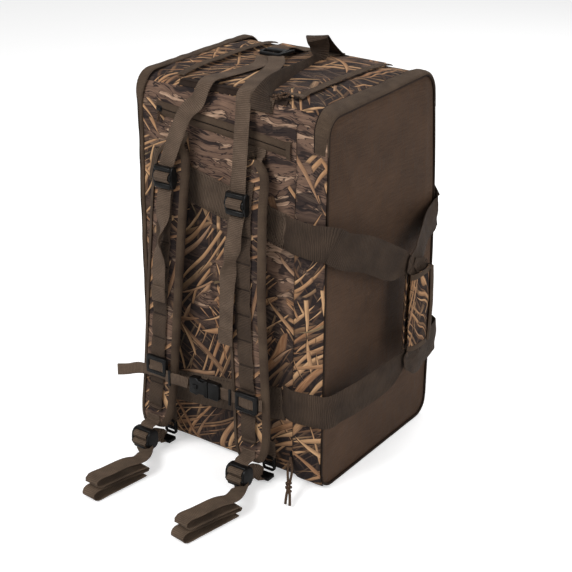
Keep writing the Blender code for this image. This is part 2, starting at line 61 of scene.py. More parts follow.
# ---- the frame's main sizes ---------------------------------------------------------------------
WALL_LOW, WALL_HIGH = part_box("side_walls")
LID_LOW, LID_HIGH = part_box("lid_panel")
FLAP_LOW, FLAP_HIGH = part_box("lid_flap")
LID_FOAM_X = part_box("lid_foam")[0].x
SIDE = LID_HIGH.x
FRONT, REAR = WALL_LOW.y, WALL_HIGH.y
HEIGHT = WALL_HIGH.z
MIDDLE = HEIGHT / 2
CORNER = 0.028
MOUTH_X = FLAP_LOW.x - 0.004
HAUL_WIDTH = 0.0508
STRAP_WIDTH = 0.0254
WEB = 0.0017
STRAP_SEEN = STRAP_WIDTH * 0.95     # one inch webbing that runs through hardware is a little narrower
PIPING_SIZE = 0.0036
UPRIGHT = Matrix.Rotation(math.radians(90), 4, "X")     # stands a plate that was drawn flat on its edge


# ---- small maths --------------------------------------------------------------------------------
def vec(*parts):
    return Vector(parts)


def between(a, b, share):
    return a + (b - a) * share


def node_middle(name):
    low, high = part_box(name)
    return (low + high) / 2


def steps(count, start=0.0, end=1.0):
    """Equal steps from start to end, both included."""
    return [start + (end - start) * k / count for k in range(count + 1)]


def clamp(value, low=0.0, high=1.0):
    return max(low, min(high, value))


def ease(value):
    value = clamp(value)
    return value * value * (3 - 2 * value)


def ripple(place, scale, seed=0.0):
    """Smooth noise from -1 to 1 at a place."""
    return noise.noise(Vector(place) * scale + Vector((seed, seed * 1.7, seed * 0.3)))


def catmull(points, spacing):
    """Points along a smooth curve through control rows (any length of tuple), about spacing apart."""
    rows = [list(p) for p in points]
    first, last = ([2 * a - b for a, b in zip(*pair)] for pair in (rows[:2], rows[:-3:-1]))
    rows = [first, *rows, last]
    made = []
    for p0, p1, p2, p3 in zip(rows, rows[1:], rows[2:], rows[3:]):
        length = (Vector(p2[:3]) - Vector(p1[:3])).length
        count = max(1, round(length / spacing))
        for t in (step / count for step in range(count)):
            made.append([
                0.5 * (2 * b + (c - a) * t + (2 * a - 5 * b + 4 * c - d) * t * t
                       + (3 * b - a - 3 * c + d) * t * t * t)
                for a, b, c, d in zip(p0, p1, p2, p3)])
    made.append(rows[-2])
    return made


# ---- making meshes ------------------------------------------------------------------------------
def make_object(name, mesh, body, material, smooth_angle=40):
    made = bpy.data.objects.new(name, mesh)
    bpy.context.scene.collection.objects.link(made)
    mesh.materials.append(material)
    mesh.shade_smooth()
    mesh.set_sharp_from_angle(angle=math.radians(smooth_angle))
    if body:
        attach(made, body)
    return made


def mesh_from(name, points, faces, coords):
    mesh = bpy.data.meshes.new(name)
    mesh.from_pydata([tuple(p) for p in points], [], faces)
    mesh.update()
    attribute = mesh.attributes.new(COORDS, "FLOAT_VECTOR", "POINT")
    attribute.data.foreach_set("vector", [c for row in coords for c in row])
    return mesh


@contextmanager
def edited(mesh):
    """A mesh's faces to edit; they go back into it afterwards."""
    bm = bmesh.new()
    bm.from_mesh(mesh)
    yield bm
    bm.to_mesh(mesh)
    bm.free()


def sheet(name, columns, rows, place, cloth, body, material, skip=None, flip=False):
    """A curved sheet: place(u, v) and cloth(u, v) are called over a grid of u and v from 0 to 1.

    skip tells from a cell's middle on the flat cloth whether it is left out.
    """
    spots = [(i / columns, j / rows) for j in range(rows + 1) for i in range(columns + 1)]
    points = [place(u, v) for u, v in spots]
    coords = [(*cloth(u, v), 0.0) for u, v in spots]
    faces, wide = [], columns + 1
    for j in range(rows):
        for i in range(columns):
            a = j * wide + i
            if skip and skip((coords[a][0] + coords[a + 1][0]) / 2, (coords[a][1] + coords[a + wide][1]) / 2):
                continue
            face = (a, a + 1, a + 1 + wide, a + wide)
            faces.append(face[::-1] if flip else face)
    return make_object(name, mesh_from(name, points, faces, coords), body, material, 60)


def thicken(piece, thickness, offset=-1):
    solid = piece.modifiers.new("thickness", "SOLIDIFY")
    solid.thickness, solid.offset = thickness, offset


def band_profile(width, thickness, crown=0.0):
    """Cross-section of webbing: a flat strip with rounded edges, (across, up) pairs in metres."""
    half, thick = width / 2, thickness / 2
    flat = [(a, crown * (1 - (a / half) ** 2)) for a in steps(6, -half + thick, half - thick)]
    top = [(a, thick + b) for a, b in flat]
    bottom = [(a, -thick + b) for a, b in reversed(flat)]
    return [(-half, 0.0), *top, (half, 0.0), *bottom]


def oval_profile(width, thickness, steps=12):
    return [(-width / 2 * math.cos(2 * math.pi * i / steps),
             thickness / 2 * math.sin(2 * math.pi * i / steps))
            for i in range(steps)]


def station_row(station):
    """A station is a place, (place, outward) or (place, outward, width share), spelt out here."""
    place, out, share = (station, -Y, 1.0) if isinstance(station, Vector) else (*station, 1.0)[:3]
    return (*Vector(place), *Vector(out).normalized(), share)


def sweep(name, stations, profile, body, material, closed=False, spacing=0.005, lift=None):
    """Runs a cross-section along stations. profile is (across, up) pairs."""
    rows = [station_row(station) for station in stations]
    path = catmull(rows + rows[:1], spacing)[:-1] if closed else catmull(rows, spacing)
    points, coords, faces = [], [], []
    count, size, length = len(path), len(profile), 0.0
    for k, row in enumerate(path):
        place, out, share = Vector(row[:3]), Vector(row[3:6]).normalized(), row[6]
        before = path[(k - 1) % count] if closed or k else path[k]
        after = path[(k + 1) % count] if closed or k < count - 1 else path[k]
        along = (Vector(after[:3]) - Vector(before[:3])).normalized()
        across = along.cross(out).normalized()
        up = across.cross(along).normalized()
        if k:
            length += (place - Vector(path[k - 1][:3])).length
        for a, b in profile:
            raised = b + (lift(a * share, length) if lift else 0.0)
            points.append(place + across * a * share + up * raised)
            coords.append((a, length, b))
    for k in range(count if closed else count - 1):
        here, ahead = k * size, (k + 1) % count * size
        for i in range(size):
            after = (i + 1) % size
            faces.append((here + i, here + after, ahead + after, ahead + i))
    if not closed:
        faces.append(tuple(range(size))[::-1])
        faces.append(tuple(range((count - 1) * size, count * size)))
    mesh = mesh_from(name, points, faces, coords)
    with edited(mesh) as bm:
        bmesh.ops.recalc_face_normals(bm, faces=bm.faces)
    return make_object(name, mesh, body, material, 50)


def webbing(name, stations, width, body, material, thickness=WEB, crown=0.0, lift=None, spacing=0.005):
    return sweep(name, stations, band_profile(width, thickness, crown), body, material, spacing=spacing,
                 lift=lift)


def rounded_rectangle(low, high, radius, count=4):
    (x0, y0), (x1, y1) = low, high
    corners = ((x1, y1, -1, -1), (x0, y1, 1, -1), (x0, y0, 1, 1), (x1, y0, -1, 1))
    points = []
    for quarter, (x, y, in_x, in_y) in enumerate(corners):
        for share in steps(count):
            angle = math.radians(90 * (quarter + share))
            points.append((x + radius * (in_x + math.cos(angle)), y + radius * (in_y + math.sin(angle))))
    return points


def centred_rectangle(width, height, radius, count=4):
    return rounded_rectangle((-width / 2, -height / 2), (width / 2, height / 2), radius, count)


def moulded_plate(name, outline, holes, thickness, matrix, body, bend=None, edge=0.0008):
    """A moulded plate with holes and rounded edges; bend(x, y) raises its middle surface."""
    curve = bpy.data.curves.new(name, "CURVE")
    curve.dimensions, curve.fill_mode = "2D", "BOTH"
    curve.extrude, curve.bevel_depth, curve.bevel_resolution = thickness / 2 - edge, edge, 2
    curve.offset = -edge
    for loop in [outline, *holes]:
        spline = curve.splines.new("POLY")
        spline.points.add(len(loop) - 1)
        for point, (x, y) in zip(spline.points, loop):
            point.co = (x, y, 0, 1)
        spline.use_cyclic_u = True
    draft = bpy.data.objects.new(name + "_draft", curve)
    bpy.context.scene.collection.objects.link(draft)
    graph = bpy.context.evaluated_depsgraph_get()
    mesh = bpy.data.meshes.new_from_object(draft.evaluated_get(graph))
    bpy.data.objects.remove(draft)
    mesh.name = name
    with edited(mesh) as bm:
        bmesh.ops.remove_doubles(bm, verts=bm.verts, dist=1e-6)
        if bend:
            for vert in bm.verts:
                vert.co.z += bend(vert.co.x, vert.co.y)
        bmesh.ops.transform(bm, matrix=matrix, verts=bm.verts)
    mesh.materials.clear()
    return make_object(name, mesh, body, PLASTIC, 35)


def block(name, low, high, body, material, bevel=0.001, segments=3):
    low, high = Vector(low), Vector(high)
    mesh = bpy.data.meshes.new(name)
    with edited(mesh) as bm:
        bmesh.ops.create_cube(bm, size=1)
        bmesh.ops.scale(bm, vec=high - low, verts=bm.verts)
        bmesh.ops.translate(bm, vec=(low + high) / 2, verts=bm.verts)
        bmesh.ops.bevel(bm, geom=list(bm.edges), offset=bevel, segments=segments, profile=0.5, affect="EDGES")
    return make_object(name, mesh, body, material)


def cord(name, points, radius, body):
    return sweep(name, [(p, (0.3, -1, 0.2)) for p in points], oval_profile(2 * radius, 2 * radius, 8), body,
                 CORD, spacing=0.002)


def join(name, pieces):
    """Makes one piece of several that ride on the same body."""
    first = pieces[0]
    with bpy.context.temp_override(active_object=first, selected_editable_objects=pieces, object=first,
                                   selected_objects=pieces):
        bpy.ops.object.join()
    first.name = name
    return first


# ---- materials ----------------------------------------------------------------------------------
def linear(red, green, blue):
    """A colour given as 0 to 255 display values, in the renderer's linear values."""
    return tuple(((c / 255 + 0.055) / 1.055) ** 2.4 if c > 10 else c / 255 / 12.92
                 for c in (red, green, blue))


def scaled(colour, share, more=0.0):
    return tuple(c * share + more for c in colour)


class Graph:
    """Builds a material's nodes; every call returns an output socket."""

    def __init__(self, tree):
        self.tree = tree

    def node(self, kind, inputs=None, **settings):
        made = self.tree.nodes.new(kind)
        for key, value in settings.items():
            setattr(made, key, value)
        for key, value in (inputs or {}).items():
            if isinstance(value, bpy.types.NodeSocket):
                self.tree.links.new(value, made.inputs[key])
            else:
                made.inputs[key].default_value = value
        return made

    def math(self, operation, a, b=0.0):
        values = {0: a, 1: b}
        return self.node("ShaderNodeMath", values, operation=operation).outputs[0]

    def add(self, a, b):
        return self.math("ADD", a, b)

    def sub(self, a, b):
        return self.math("SUBTRACT", a, b)

    def mul(self, a, b):
        return self.math("MULTIPLY", a, b)

    def sine(self, a):
        return self.math("SINE", a)

    def size(self, a):
        return self.math("ABSOLUTE", a)

    def vector(self, x, y, z=0.0):
        return self.node("ShaderNodeCombineXYZ", {0: x, 1: y, 2: z}).outputs[0]

    def parts(self, vector):
        return self.node("ShaderNodeSeparateXYZ", {0: vector}).outputs

    def noise(self, vector, scale, detail=3.0, roughness=0.55, distortion=0.0):
        made = self.node("ShaderNodeTexNoise", {"Vector": vector, "Scale": scale, "Detail": detail,
                                                "Roughness": roughness, "Distortion": distortion})
        return made.outputs["Fac"]

    def band(self, value, low, high, to_low=0.0, to_high=1.0):
        """Maps low..high smoothly to to_low..to_high and holds outside it."""
        made = self.node("ShaderNodeMapRange", {"Value": value, "From Min": low, "From Max": high,
                                                "To Min": to_low, "To Max": to_high},
                         interpolation_type="SMOOTHSTEP", clamp=True)
        return made.outputs["Result"]

    def mix(self, share, a, b):
        made = self.tree.nodes.new("ShaderNodeMix")
        made.data_type = "RGBA"
        for index, value in ((0, share), (6, a), (7, b)):
            if isinstance(value, bpy.types.NodeSocket):
                self.tree.links.new(value, made.inputs[index])
            else:
                made.inputs[index].default_value = value if index == 0 else (*value[:3], 1)
        return made.outputs[2]

    def ramp(self, value, stops):
        made = self.node("ShaderNodeValToRGB", {0: value})
        elements = made.color_ramp.elements
        while len(elements) < len(stops):
            elements.new(0.5)
        for element, (position, colour) in zip(elements, stops):
            element.position, element.color = position, (*colour, 1)
        return made.outputs[0]

    def coords(self):
        return self.node("ShaderNodeAttribute", attribute_name=COORDS).outputs["Vector"]


def new_material(name):
    made = bpy.data.materials.new(name)
    made.use_nodes = True
    return made, Graph(made.node_tree), made.node_tree.nodes["Principled BSDF"]


def finish_shader(graph, shader, colour, roughness, height=None, distance=0.0002, strength=1.0, sheen=0.0):
    """Joins colour, roughness and bump to a material's Principled shader."""
    links = graph.tree.links
    for key, value in (("Base Color", colour), ("Roughness", roughness)):
        if isinstance(value, bpy.types.NodeSocket):
            links.new(value, shader.inputs[key])
        elif key == "Base Color":
            shader.inputs[key].default_value = (*value, 1)
        else:
            shader.inputs[key].default_value = value
    if height is not None:
        bump = graph.node("ShaderNodeBump", {"Height": height, "Distance": distance, "Strength": strength})
        links.new(bump.outputs[0], shader.inputs["Normal"])
    shader.inputs["Sheen Weight"].default_value = sheen
    shader.inputs["Sheen Roughness"].default_value = 0.5
    shader.inputs["Specular IOR Level"].default_value = 0.14


def weave(graph, coords, pitch):
    """Height of a plain weave: threads over and under each other, at a pitch in metres."""
    x, y, _ = graph.parts(coords)
    turns = 2 * math.pi / pitch
    warp = graph.sine(graph.mul(x, turns))
    weft = graph.sine(graph.mul(y, turns))
    return graph.mul(warp, weft)


BLADE_GROUP = "grass_blades"
YARN_PITCH = 0.0019


def blade_group():
    """A node group that draws one layer of grass blades lying at an angle.

    The cloth is ruled into long narrow cells. Each cell may hold one tapering blade, with its own place,
    width and tint. It gives the blades' mask, their shading across, a tint and the grain along them.
    """
    group = bpy.data.node_groups.new(BLADE_GROUP, "ShaderNodeTree")
    group.interface.new_socket("Coords", in_out="INPUT", socket_type="NodeSocketVector")
    for name in ("Angle", "Pitch", "Length", "Bend", "Density", "Seed"):
        group.interface.new_socket(name, in_out="INPUT", socket_type="NodeSocketFloat")
    for name in ("Mask", "Across", "Tint", "Shadow", "Grain"):
        group.interface.new_socket(name, in_out="OUTPUT", socket_type="NodeSocketFloat")
    g = Graph(group)
    start = group.nodes.new("NodeGroupInput")
    value = {s.name: start.outputs[s.name] for s in group.interface.items_tree if s.in_out == "INPUT"}
    turned = g.node("ShaderNodeVectorRotate", {"Vector": value["Coords"], "Angle": value["Angle"]},
                    rotation_type="Z_AXIS").outputs[0]
    x, y, _ = g.parts(turned)
    shift = g.vector(x, y, value["Seed"])
    sway = g.sub(g.noise(shift, 5.0, 0.0), 0.5)
    sway = g.add(sway, g.mul(g.sub(g.noise(shift, 16.0, 0.0), 0.5), 0.08))
    x = g.add(x, g.mul(sway, value["Bend"]))
    across = g.math("DIVIDE", x, value["Pitch"])
    column = g.math("FLOOR", across)
    across = g.sub(across, column)
    stagger = g.node("ShaderNodeTexWhiteNoise",
                     {"Vector": g.vector(column, value["Seed"], 3.1)}).outputs["Value"]
    along = g.add(g.math("DIVIDE", y, value["Length"]), stagger)
    row = g.math("FLOOR", along)
    along = g.sub(along, row)
    dice = g.node("ShaderNodeTexWhiteNoise", {"Vector": g.vector(column, row, value["Seed"])})
    chance, rolls = dice.outputs["Value"], g.parts(dice.outputs["Color"])
    present = g.math("LESS_THAN", chance, value["Density"])
    centre = g.add(0.5, g.mul(g.sub(rolls[0], 0.5), 0.55))
    centre = g.add(centre, g.mul(g.sub(along, 0.5),
                                          g.mul(g.sub(rolls[2], 0.5), 1.1)))
    taper = g.size(g.sub(g.mul(along, 2.0), 1.0))
    taper = g.sub(1.0, g.math("POWER", taper, 3.0))
    half = g.mul(g.add(0.1, g.mul(rolls[1], 0.3)), taper)
    off = g.sub(across, centre)
    inside = g.sub(half, g.size(off))
    mask = g.mul(g.band(inside, 0.0, 0.03), present)
    dropped = g.sub(g.add(half, 0.06), g.size(g.add(off, 0.06)))
    shadow = g.mul(g.band(dropped, 0.0, 0.05), present)
    shading = g.math("DIVIDE", off, g.math("MAXIMUM", half, 0.01))
    grain = g.noise(g.vector(x, g.mul(y, 0.05), value["Seed"]), 900.0, 2.0)
    end = group.nodes.new("NodeGroupOutput")
    for name, socket in (("Mask", mask), ("Across", shading), ("Tint", rolls[2]), ("Shadow", shadow),
                         ("Grain", grain)):
        group.links.new(socket, end.inputs[name])
    return group


BARK_BLACK, BARK_DEEP = linear(34, 28, 28), linear(70, 54, 47)
BARK_MID, BARK_BROWN = linear(96, 75, 63), linear(122, 97, 81)
BARK_TAN, BARK_PALE = linear(152, 124, 103), linear(184, 155, 131)
STRAW_DARK, STRAW, STRAW_PALE = linear(98, 70, 52), linear(162, 121, 87), linear(211, 171, 128)
RUST, GREEN = linear(134, 92, 64), linear(70, 84, 66)


def camo_material(name, offset, grass=0.0, slope=0.0):
    """Marsh-grass camouflage: streaked bark under bundles of dry blades, printed on woven polyester.

    grass adds to how much of the cloth the bundles cover; slope makes them thin out along the cloth.
    """
    made, g, shader = new_material(name)
    blades = bpy.data.node_groups.get(BLADE_GROUP) or blade_group()
    raw = g.coords()
    _, length_along, _ = g.parts(raw)
    placed = g.node("ShaderNodeMapping", {"Vector": raw, "Location": (*offset, 0.0)}).outputs[0]
    x, y, _ = g.parts(placed)
    y_bark = g.add(y, g.mul(g.sub(g.noise(placed, 11.0, 2.0), 0.5), 0.045))
    fine = g.noise(g.vector(g.mul(x, 0.1), y_bark, 2.0), 330.0, 3.0, 0.6)
    broad = g.noise(g.vector(g.mul(x, 0.22), y_bark, 5.0), 46.0, 2.5, 0.55, 0.5)
    smear = g.noise(g.vector(g.mul(x, 0.3), y_bark, 9.0), 52.0, 2.5, 0.55, 0.6)
    crack = g.noise(g.vector(g.mul(x, 0.14), y_bark, 13.0), 88.0, 3.0, 0.6, 0.6)
    colour = g.ramp(fine, [(0.3, BARK_DEEP), (0.5, BARK_MID), (0.7, BARK_BROWN)])
    pale = g.ramp(fine, [(0.3, BARK_BROWN), (0.48, BARK_TAN), (0.72, BARK_PALE)])
    colour = g.mix(g.band(broad, 0.5, 0.545, 0.0, 0.45), colour, BARK_BROWN)
    colour = g.mix(g.band(smear, 0.575, 0.59), colour, pale)
    edge = g.band(g.size(g.sub(smear, 0.57)), 0.012, 0.004)
    colour = g.mix(g.mul(edge, 0.75), colour, BARK_BLACK)
    colour = g.mix(g.band(broad, 0.425, 0.405, 0.0, 0.85), colour, BARK_BLACK)
    lines = g.band(g.size(g.sub(crack, 0.5)), 0.02, 0.008)
    colour = g.mix(g.mul(lines, 0.92), colour, BARK_BLACK)
    thinning = g.mul(length_along, slope)
    for layer in BLADE_LAYERS:
        colour = grass_layer(g, blades, placed, colour, (x, y), grass, thinning, layer)
    threads = weave(g, raw, 0.0011)
    worn = g.noise(raw, 260.0, 3.0)
    # painted shade: the colour is darkened towards near black where the weave is low, between the threads
    colour = g.mix(g.band(threads, -1.0, 1.0, 0.16, 0.0), colour, (0.01, 0.008, 0.007))
    colour = g.mix(0.06, colour, BARK_BLACK)
    roughness = g.band(worn, 0.3, 0.7, 0.78, 0.92)
    height = g.add(g.mul(threads, 0.5), g.mul(worn, 1.2))
    finish_shader(g, shader, colour, roughness, height, 0.00012, 0.8)
    return made


BLADE_LAYERS = (  # angle of the blades from upright, cell pitch, blade length, bend, density, cover, seed
    (-34, 0.011, 0.19, 0.1, 0.62, 0.565, 5.9), (16, 0.01, 0.17, 0.11, 0.6, 0.57, 2.2),
    (-48, 0.0105, 0.19, 0.12, 0.62, 0.56, 4.6), (40, 0.0115, 0.21, 0.12, 0.62, 0.555, 7.7),
    (58, 0.01, 0.21, 0.13, 0.64, 0.535, 1.3), (30, 0.0125, 0.22, 0.12, 0.62, 0.54, 9.4),
    (-18, 0.015, 0.15, 0.1, 0.2, 0.51, 11.2), (64, 0.014, 0.16, 0.12, 0.24, 0.5, 14.8),
    (-40, 0.014, 0.15, 0.12, 0.2, 0.51, 18.1))


def grass_layer(g, blades, placed, colour, spot, grass, thinning, layer_values):
    """Draws one layer of blades over colour; dense layers also darken the cloth round their bundles."""
    angle, pitch, blade, bend, density, cover, seed = layer_values
    layer = g.node("ShaderNodeGroup", node_tree=blades)
    g.tree.links.new(placed, layer.inputs["Coords"])
    for key, value in (("Angle", math.radians(angle)), ("Pitch", pitch), ("Length", blade),
                       ("Bend", bend), ("Density", density), ("Seed", seed + 0.37)):
        layer.inputs[key].default_value = value
    drawn = layer.outputs
    field = g.sub(g.add(g.noise(g.vector(*spot, seed * 3.0), 8.0, 2.0), grass), thinning)
    cluster = g.band(field, cover, cover + 0.016)
    if density > 0.5:
        colour = g.mix(g.band(field, cover - 0.006, cover + 0.016, 0.0, 0.55), colour, BARK_BLACK)
    dry = g.ramp(drawn["Grain"], [(0.3, STRAW_DARK), (0.48, STRAW), (0.68, STRAW_PALE)])
    tinted = g.ramp(drawn["Tint"], [(0.0, BARK_MID), (0.14, RUST), (0.3, STRAW), (0.55, STRAW_PALE),
                                    (0.8, STRAW), (0.965, BARK_TAN), (0.98, GREEN)])
    dry = g.mix(0.6, dry, tinted)
    dry = g.mix(g.band(drawn["Across"], -0.5, 0.9, 0.0, 0.6), dry, STRAW_DARK)
    dry = g.mix(g.band(g.size(drawn["Across"]), 0.66, 0.98, 0.0, 0.75), dry, BARK_DEEP)
    colour = g.mix(g.mul(g.mul(drawn["Shadow"], cluster), 0.72), colour, BARK_BLACK)
    return g.mix(g.mul(drawn["Mask"], cluster), colour, dry)


def plain_fabric(name, colour, deep, pitch=0.001):
    """Heavy brown polyester: a fine weave with faint streaks in the yarn."""
    made, g, shader = new_material(name)
    colour, deep = linear(*colour), linear(*deep)
    raw = g.coords()
    x, y, _ = g.parts(raw)
    threads = weave(g, raw, pitch)
    yarn = g.noise(g.vector(g.mul(x, 8.0), g.mul(y, 0.6), 0.0), 60.0, 3.0)
    weft = g.noise(g.vector(g.mul(x, 0.6), g.mul(y, 8.0), 4.0), 60.0, 3.0)
    cloud = g.noise(raw, 9.0, 2.0)
    tone = g.add(g.mul(g.add(yarn, weft), 0.5), g.mul(g.sub(cloud, 0.5), 0.5))
    shade = g.mix(g.band(tone, 0.3, 0.72), deep, colour)
    # painted shade: the colour is darkened where the weave is low, between the threads
    shade = g.mix(g.band(threads, -1.0, 1.0, 0.22, 0.0), shade, scaled(deep, 0.35))
    roughness = g.band(yarn, 0.3, 0.7, 0.62, 0.82)
    finish_shader(g, shader, shade, roughness, g.add(threads, g.mul(yarn, 0.8)), 0.00012, 0.8)
    return made


def webbing_material(name, colour, deep, rib=0.0024, twill=True, groove_shade=0.5, slot="brown_webbing"):
    """Nylon webbing: ribs across it with painted shade in the grooves between them, a herringbone and fuzz.
    """
    made, g, shader = new_material(name)
    colour, deep = linear(*colour), linear(*deep)
    raw = g.coords()
    x, y, _ = g.parts(raw)
    unsteady = g.add(y, g.mul(g.sub(g.noise(raw, 160.0, 1.0), 0.5), rib * 0.5))
    ribs = g.sine(g.mul(unsteady, 2 * math.pi / rib))
    side = g.math("PINGPONG", x, 0.0032)
    slant = g.sine(g.mul(g.add(y, side if twill else 0.0), 2 * math.pi / YARN_PITCH))
    cords = g.sine(g.mul(x, 2 * math.pi / YARN_PITCH))
    fuzz = g.noise(raw, 700.0, 3.0)
    cloud = g.noise(raw, 26.0, 2.0)
    height = g.add(g.add(ribs, g.mul(slant, 0.35)), g.mul(cords, 0.3))
    tone = g.add(g.mul(slant, 0.1), g.add(g.mul(fuzz, 0.5), cloud))
    shade = g.mix(g.band(tone, 0.45, 1.05), deep, colour)
    # painted shade: the grooves between the ribs are darkened in the colour, by groove_shade
    shade = g.mix(g.band(ribs, 0.1, -0.9, 0.0, groove_shade), shade, scaled(deep, 0.3))
    roughness = g.band(fuzz, 0.3, 0.7, 0.7, 0.9)
    finish_shader(g, shader, shade, roughness, g.add(height, fuzz), 0.00035, 0.9)
    return made


def narrow_material(name, colour, deep, rib=0.0014, groove_shade=0.3, **more):
    """Webbing, binding or tape without a herringbone."""
    return webbing_material(name, colour, deep, rib, False, groove_shade, **more)


def plastic_material(name, colour):
    """Moulded acetal: fine spark texture and rubbed patches."""
    made, g, shader = new_material(name)
    place = g.node("ShaderNodeTexCoord").outputs["Object"]
    spark = g.noise(place, 1500.0, 2.0)
    rub = g.noise(place, 90.0, 4.0, 0.65)
    shade = g.mix(g.band(rub, 0.52, 0.75), colour, scaled(colour, 1.8, 0.003))
    roughness = g.band(rub, 0.35, 0.7, 0.3, 0.5)
    finish_shader(g, shader, shade, roughness, spark, 0.00002, 0.4)
    shader.inputs["Specular IOR Level"].default_value = 0.16
    return made


def cord_material(name, colour, deep):
    """Braided cord or thread."""
    made, g, shader = new_material(name)
    colour, deep = linear(*colour), linear(*deep)
    raw = g.coords()
    x, y, z = g.parts(raw)
    turn = g.mul(g.add(x, z), 900.0)
    braid = g.sine(g.add(turn, g.mul(y, 2 * math.pi / 0.0024)))
    fuzz = g.noise(raw, 900.0, 3.0)
    # painted shade: the colour is darker in the braid's grooves, where the braid is low; the fuzz noise adds
    # random fibre tone
    shade = g.mix(g.band(g.add(braid, fuzz), -0.6, 1.6), deep, colour)
    finish_shader(g, shader, shade, g.band(fuzz, 0.3, 0.7, 0.6, 0.85), g.add(braid, fuzz), 0.0002, 0.8)
    return made


def foam_material(name, colour):
    """Closed-cell foam: fine pits and a faint cloud."""
    made, g, shader = new_material(name)
    place = g.node("ShaderNodeTexCoord").outputs["Object"]
    cells = g.node("ShaderNodeTexVoronoi", {"Vector": place, "Scale": 900.0}).outputs["Distance"]
    cloud = g.noise(place, 40.0, 3.0)
    shade = g.mix(g.band(cloud, 0.3, 0.7), scaled(colour, 0.8), colour)
    finish_shader(g, shader, shade, g.band(cells, 0.1, 0.6, 0.8, 0.95), cells, 0.0002, 0.6)
    return made


CAMO_FRONT = camo_material("camo_front_panel", (0.02, 0.11), grass=0.16, slope=0.56)
CAMO_FLAP = camo_material("camo_storm_flap", (0.31, 0.94), grass=0.195, slope=0.56)
CAMO_END = camo_material("camo_end_pocket", (0.62, 0.25), grass=0.035)
CAMO_PAD = camo_material("camo_pads", (0.17, 0.53), grass=-0.045)
CAMO_GRIP = camo_material("camo_grip_wrap", (0.45, 0.12), grass=0.06)
LID_BROWN = plain_fabric("brown_polyester", (83, 62, 47), (61, 45, 34))
WEBBING = webbing_material("brown_webbing", (106, 89, 75), (76, 62, 51))
BINDING = narrow_material("brown_binding", (90, 74, 60), (66, 53, 43), groove_shade=0.25)
PIPING = narrow_material("dark_piping", (44, 33, 27), (26, 19, 16))
EDGE_PIPING = narrow_material("brown_piping", (58, 44, 35), (36, 27, 21))
PLASTIC = plastic_material("black_acetal", linear(13, 12, 11.5))
CORD = cord_material("brown_cord", (84, 64, 49), (44, 33, 26))
ZIP_TAPE = narrow_material("zip_tape", (62, 48, 39), (38, 29, 24), 0.0012, slot="brown_polyester")
FOAM = foam_material("grey_foam", linear(110, 110, 108))
HAUL = narrow_material("haul_webbing", (96, 80, 67), (70, 58, 48), 0.0026, 0.6)
LOOP = narrow_material("loop_webbing", (72, 58, 47), (50, 40, 33), 0.0026, 0.55)
DAISY = webbing_material("dark_webbing", (80, 65, 53), (56, 45, 37), 0.0022)
TAIL = webbing_material("tail_webbing", (112, 94, 78), (76, 63, 52))
LINING = plain_fabric("lining", (50, 40, 34), (32, 26, 22), 0.0007)
STITCH = cord_material("thread", (50, 39, 31), (26, 20, 16))


# ---- the bag's section: a rounded rectangle in YZ, walked from the foot of the harness face upwards ----
FACE_LENGTH = HEIGHT - 2 * CORNER
TOP_LENGTH = REAR - FRONT - 2 * CORNER
ARC_LENGTH = CORNER * math.pi / 2
TOP_START = FACE_LENGTH + ARC_LENGTH
REAR_START = TOP_START + TOP_LENGTH + ARC_LENGTH
BOTTOM_START = REAR_START + FACE_LENGTH + ARC_LENGTH
LOOP_LENGTH = BOTTOM_START + TOP_LENGTH + ARC_LENGTH


def loop_point(s):
    """Place and outward direction on the section, s metres along it."""
    s %= LOOP_LENGTH
    sides = ((0.0, vec(0, FRONT, CORNER), Z, -Y, FACE_LENGTH),
             (TOP_START, vec(0, FRONT + CORNER, HEIGHT), Y, Z, TOP_LENGTH),
             (REAR_START, vec(0, REAR, HEIGHT - CORNER), -Z, Y, FACE_LENGTH),
             (BOTTOM_START, vec(0, REAR - CORNER, 0), -Y, -Z, TOP_LENGTH))
    for begin, origin, along, out, length in reversed(sides):
        if s >= begin:
            past = s - begin - length
            if past <= 0:
                return origin + along * (s - begin), out
            angle = past / CORNER
            centre = origin + along * length - out * CORNER
            direction = out * math.cos(angle) + along * math.sin(angle)
            return centre + direction * CORNER, direction
    return None


def side_share(s):
    """Which side s is on (0 harness face, 1 top, 2 rear, 3 bottom) and where along it, from -1 to 1."""
    s %= LOOP_LENGTH
    for side, (begin, length) in enumerate(((0.0, FACE_LENGTH), (TOP_START, TOP_LENGTH),
                                            (REAR_START, FACE_LENGTH), (BOTTOM_START, TOP_LENGTH))):
        if s < begin + length + ARC_LENGTH:
            return side, (s - begin - length / 2) / (length / 2)
    return 3, 1.0


SWELL = (0.0026, 0.003, 0.006, 0.0)
SEAMS = (WALL_LOW.x, -0.1, 0.1, LID_LOW.x - 0.018)


def swell(x, s):
    """How far the stuffed cloth stands out from the section at a place."""
    side, along = side_share(s)
    across = clamp((x - WALL_LOW.x) / (LID_HIGH.x - WALL_LOW.x)) * 2 - 1
    plump = SWELL[side] * (1 - across ** 4) * (1 - min(abs(along), 1.0) ** 4)
    place = (x * 0.7, s, 0.0)
    soft = 0.0012 * ripple(place, 12.0, 3.1) + 0.0007 * ripple(place, 30.0, 8.4)
    near = min(abs(x - seam) for seam in SEAMS)
    pucker = 0.0013 * math.exp(-near / 0.013) * ripple((x * 0.25, s, 1.0), 58.0, 5.5)
    if side == 3:
        return -abs(soft) - abs(pucker)
    return plump + soft + pucker


REAR_SLUMP, REAR_SPREAD = 0.03, 0.005
LEFT_RISE, LEFT_SPREAD = 0.01, 0.006
LID_TUCK = 0.0035
CORNER_DROP = 0.014


def settled(place):
    """Where a point of the soft bag comes to rest: its top leans forward at the rear, its foot spreads."""
    back = (place.y - FRONT) / (REAR - FRONT)
    high = clamp(place.z / HEIGHT) ** 3
    left = (SIDE - place.x) / (2 * SIDE)
    corner = CORNER_DROP * clamp(place.z / HEIGHT) ** 8 * clamp(1 - back) * clamp(1 - left) ** 10
    return place + vec(-LEFT_SPREAD * back * high * left - LID_TUCK * (1 - left),
                           back * (REAR_SPREAD - REAR_SLUMP * high),
                           LEFT_RISE * back * high * left - corner)


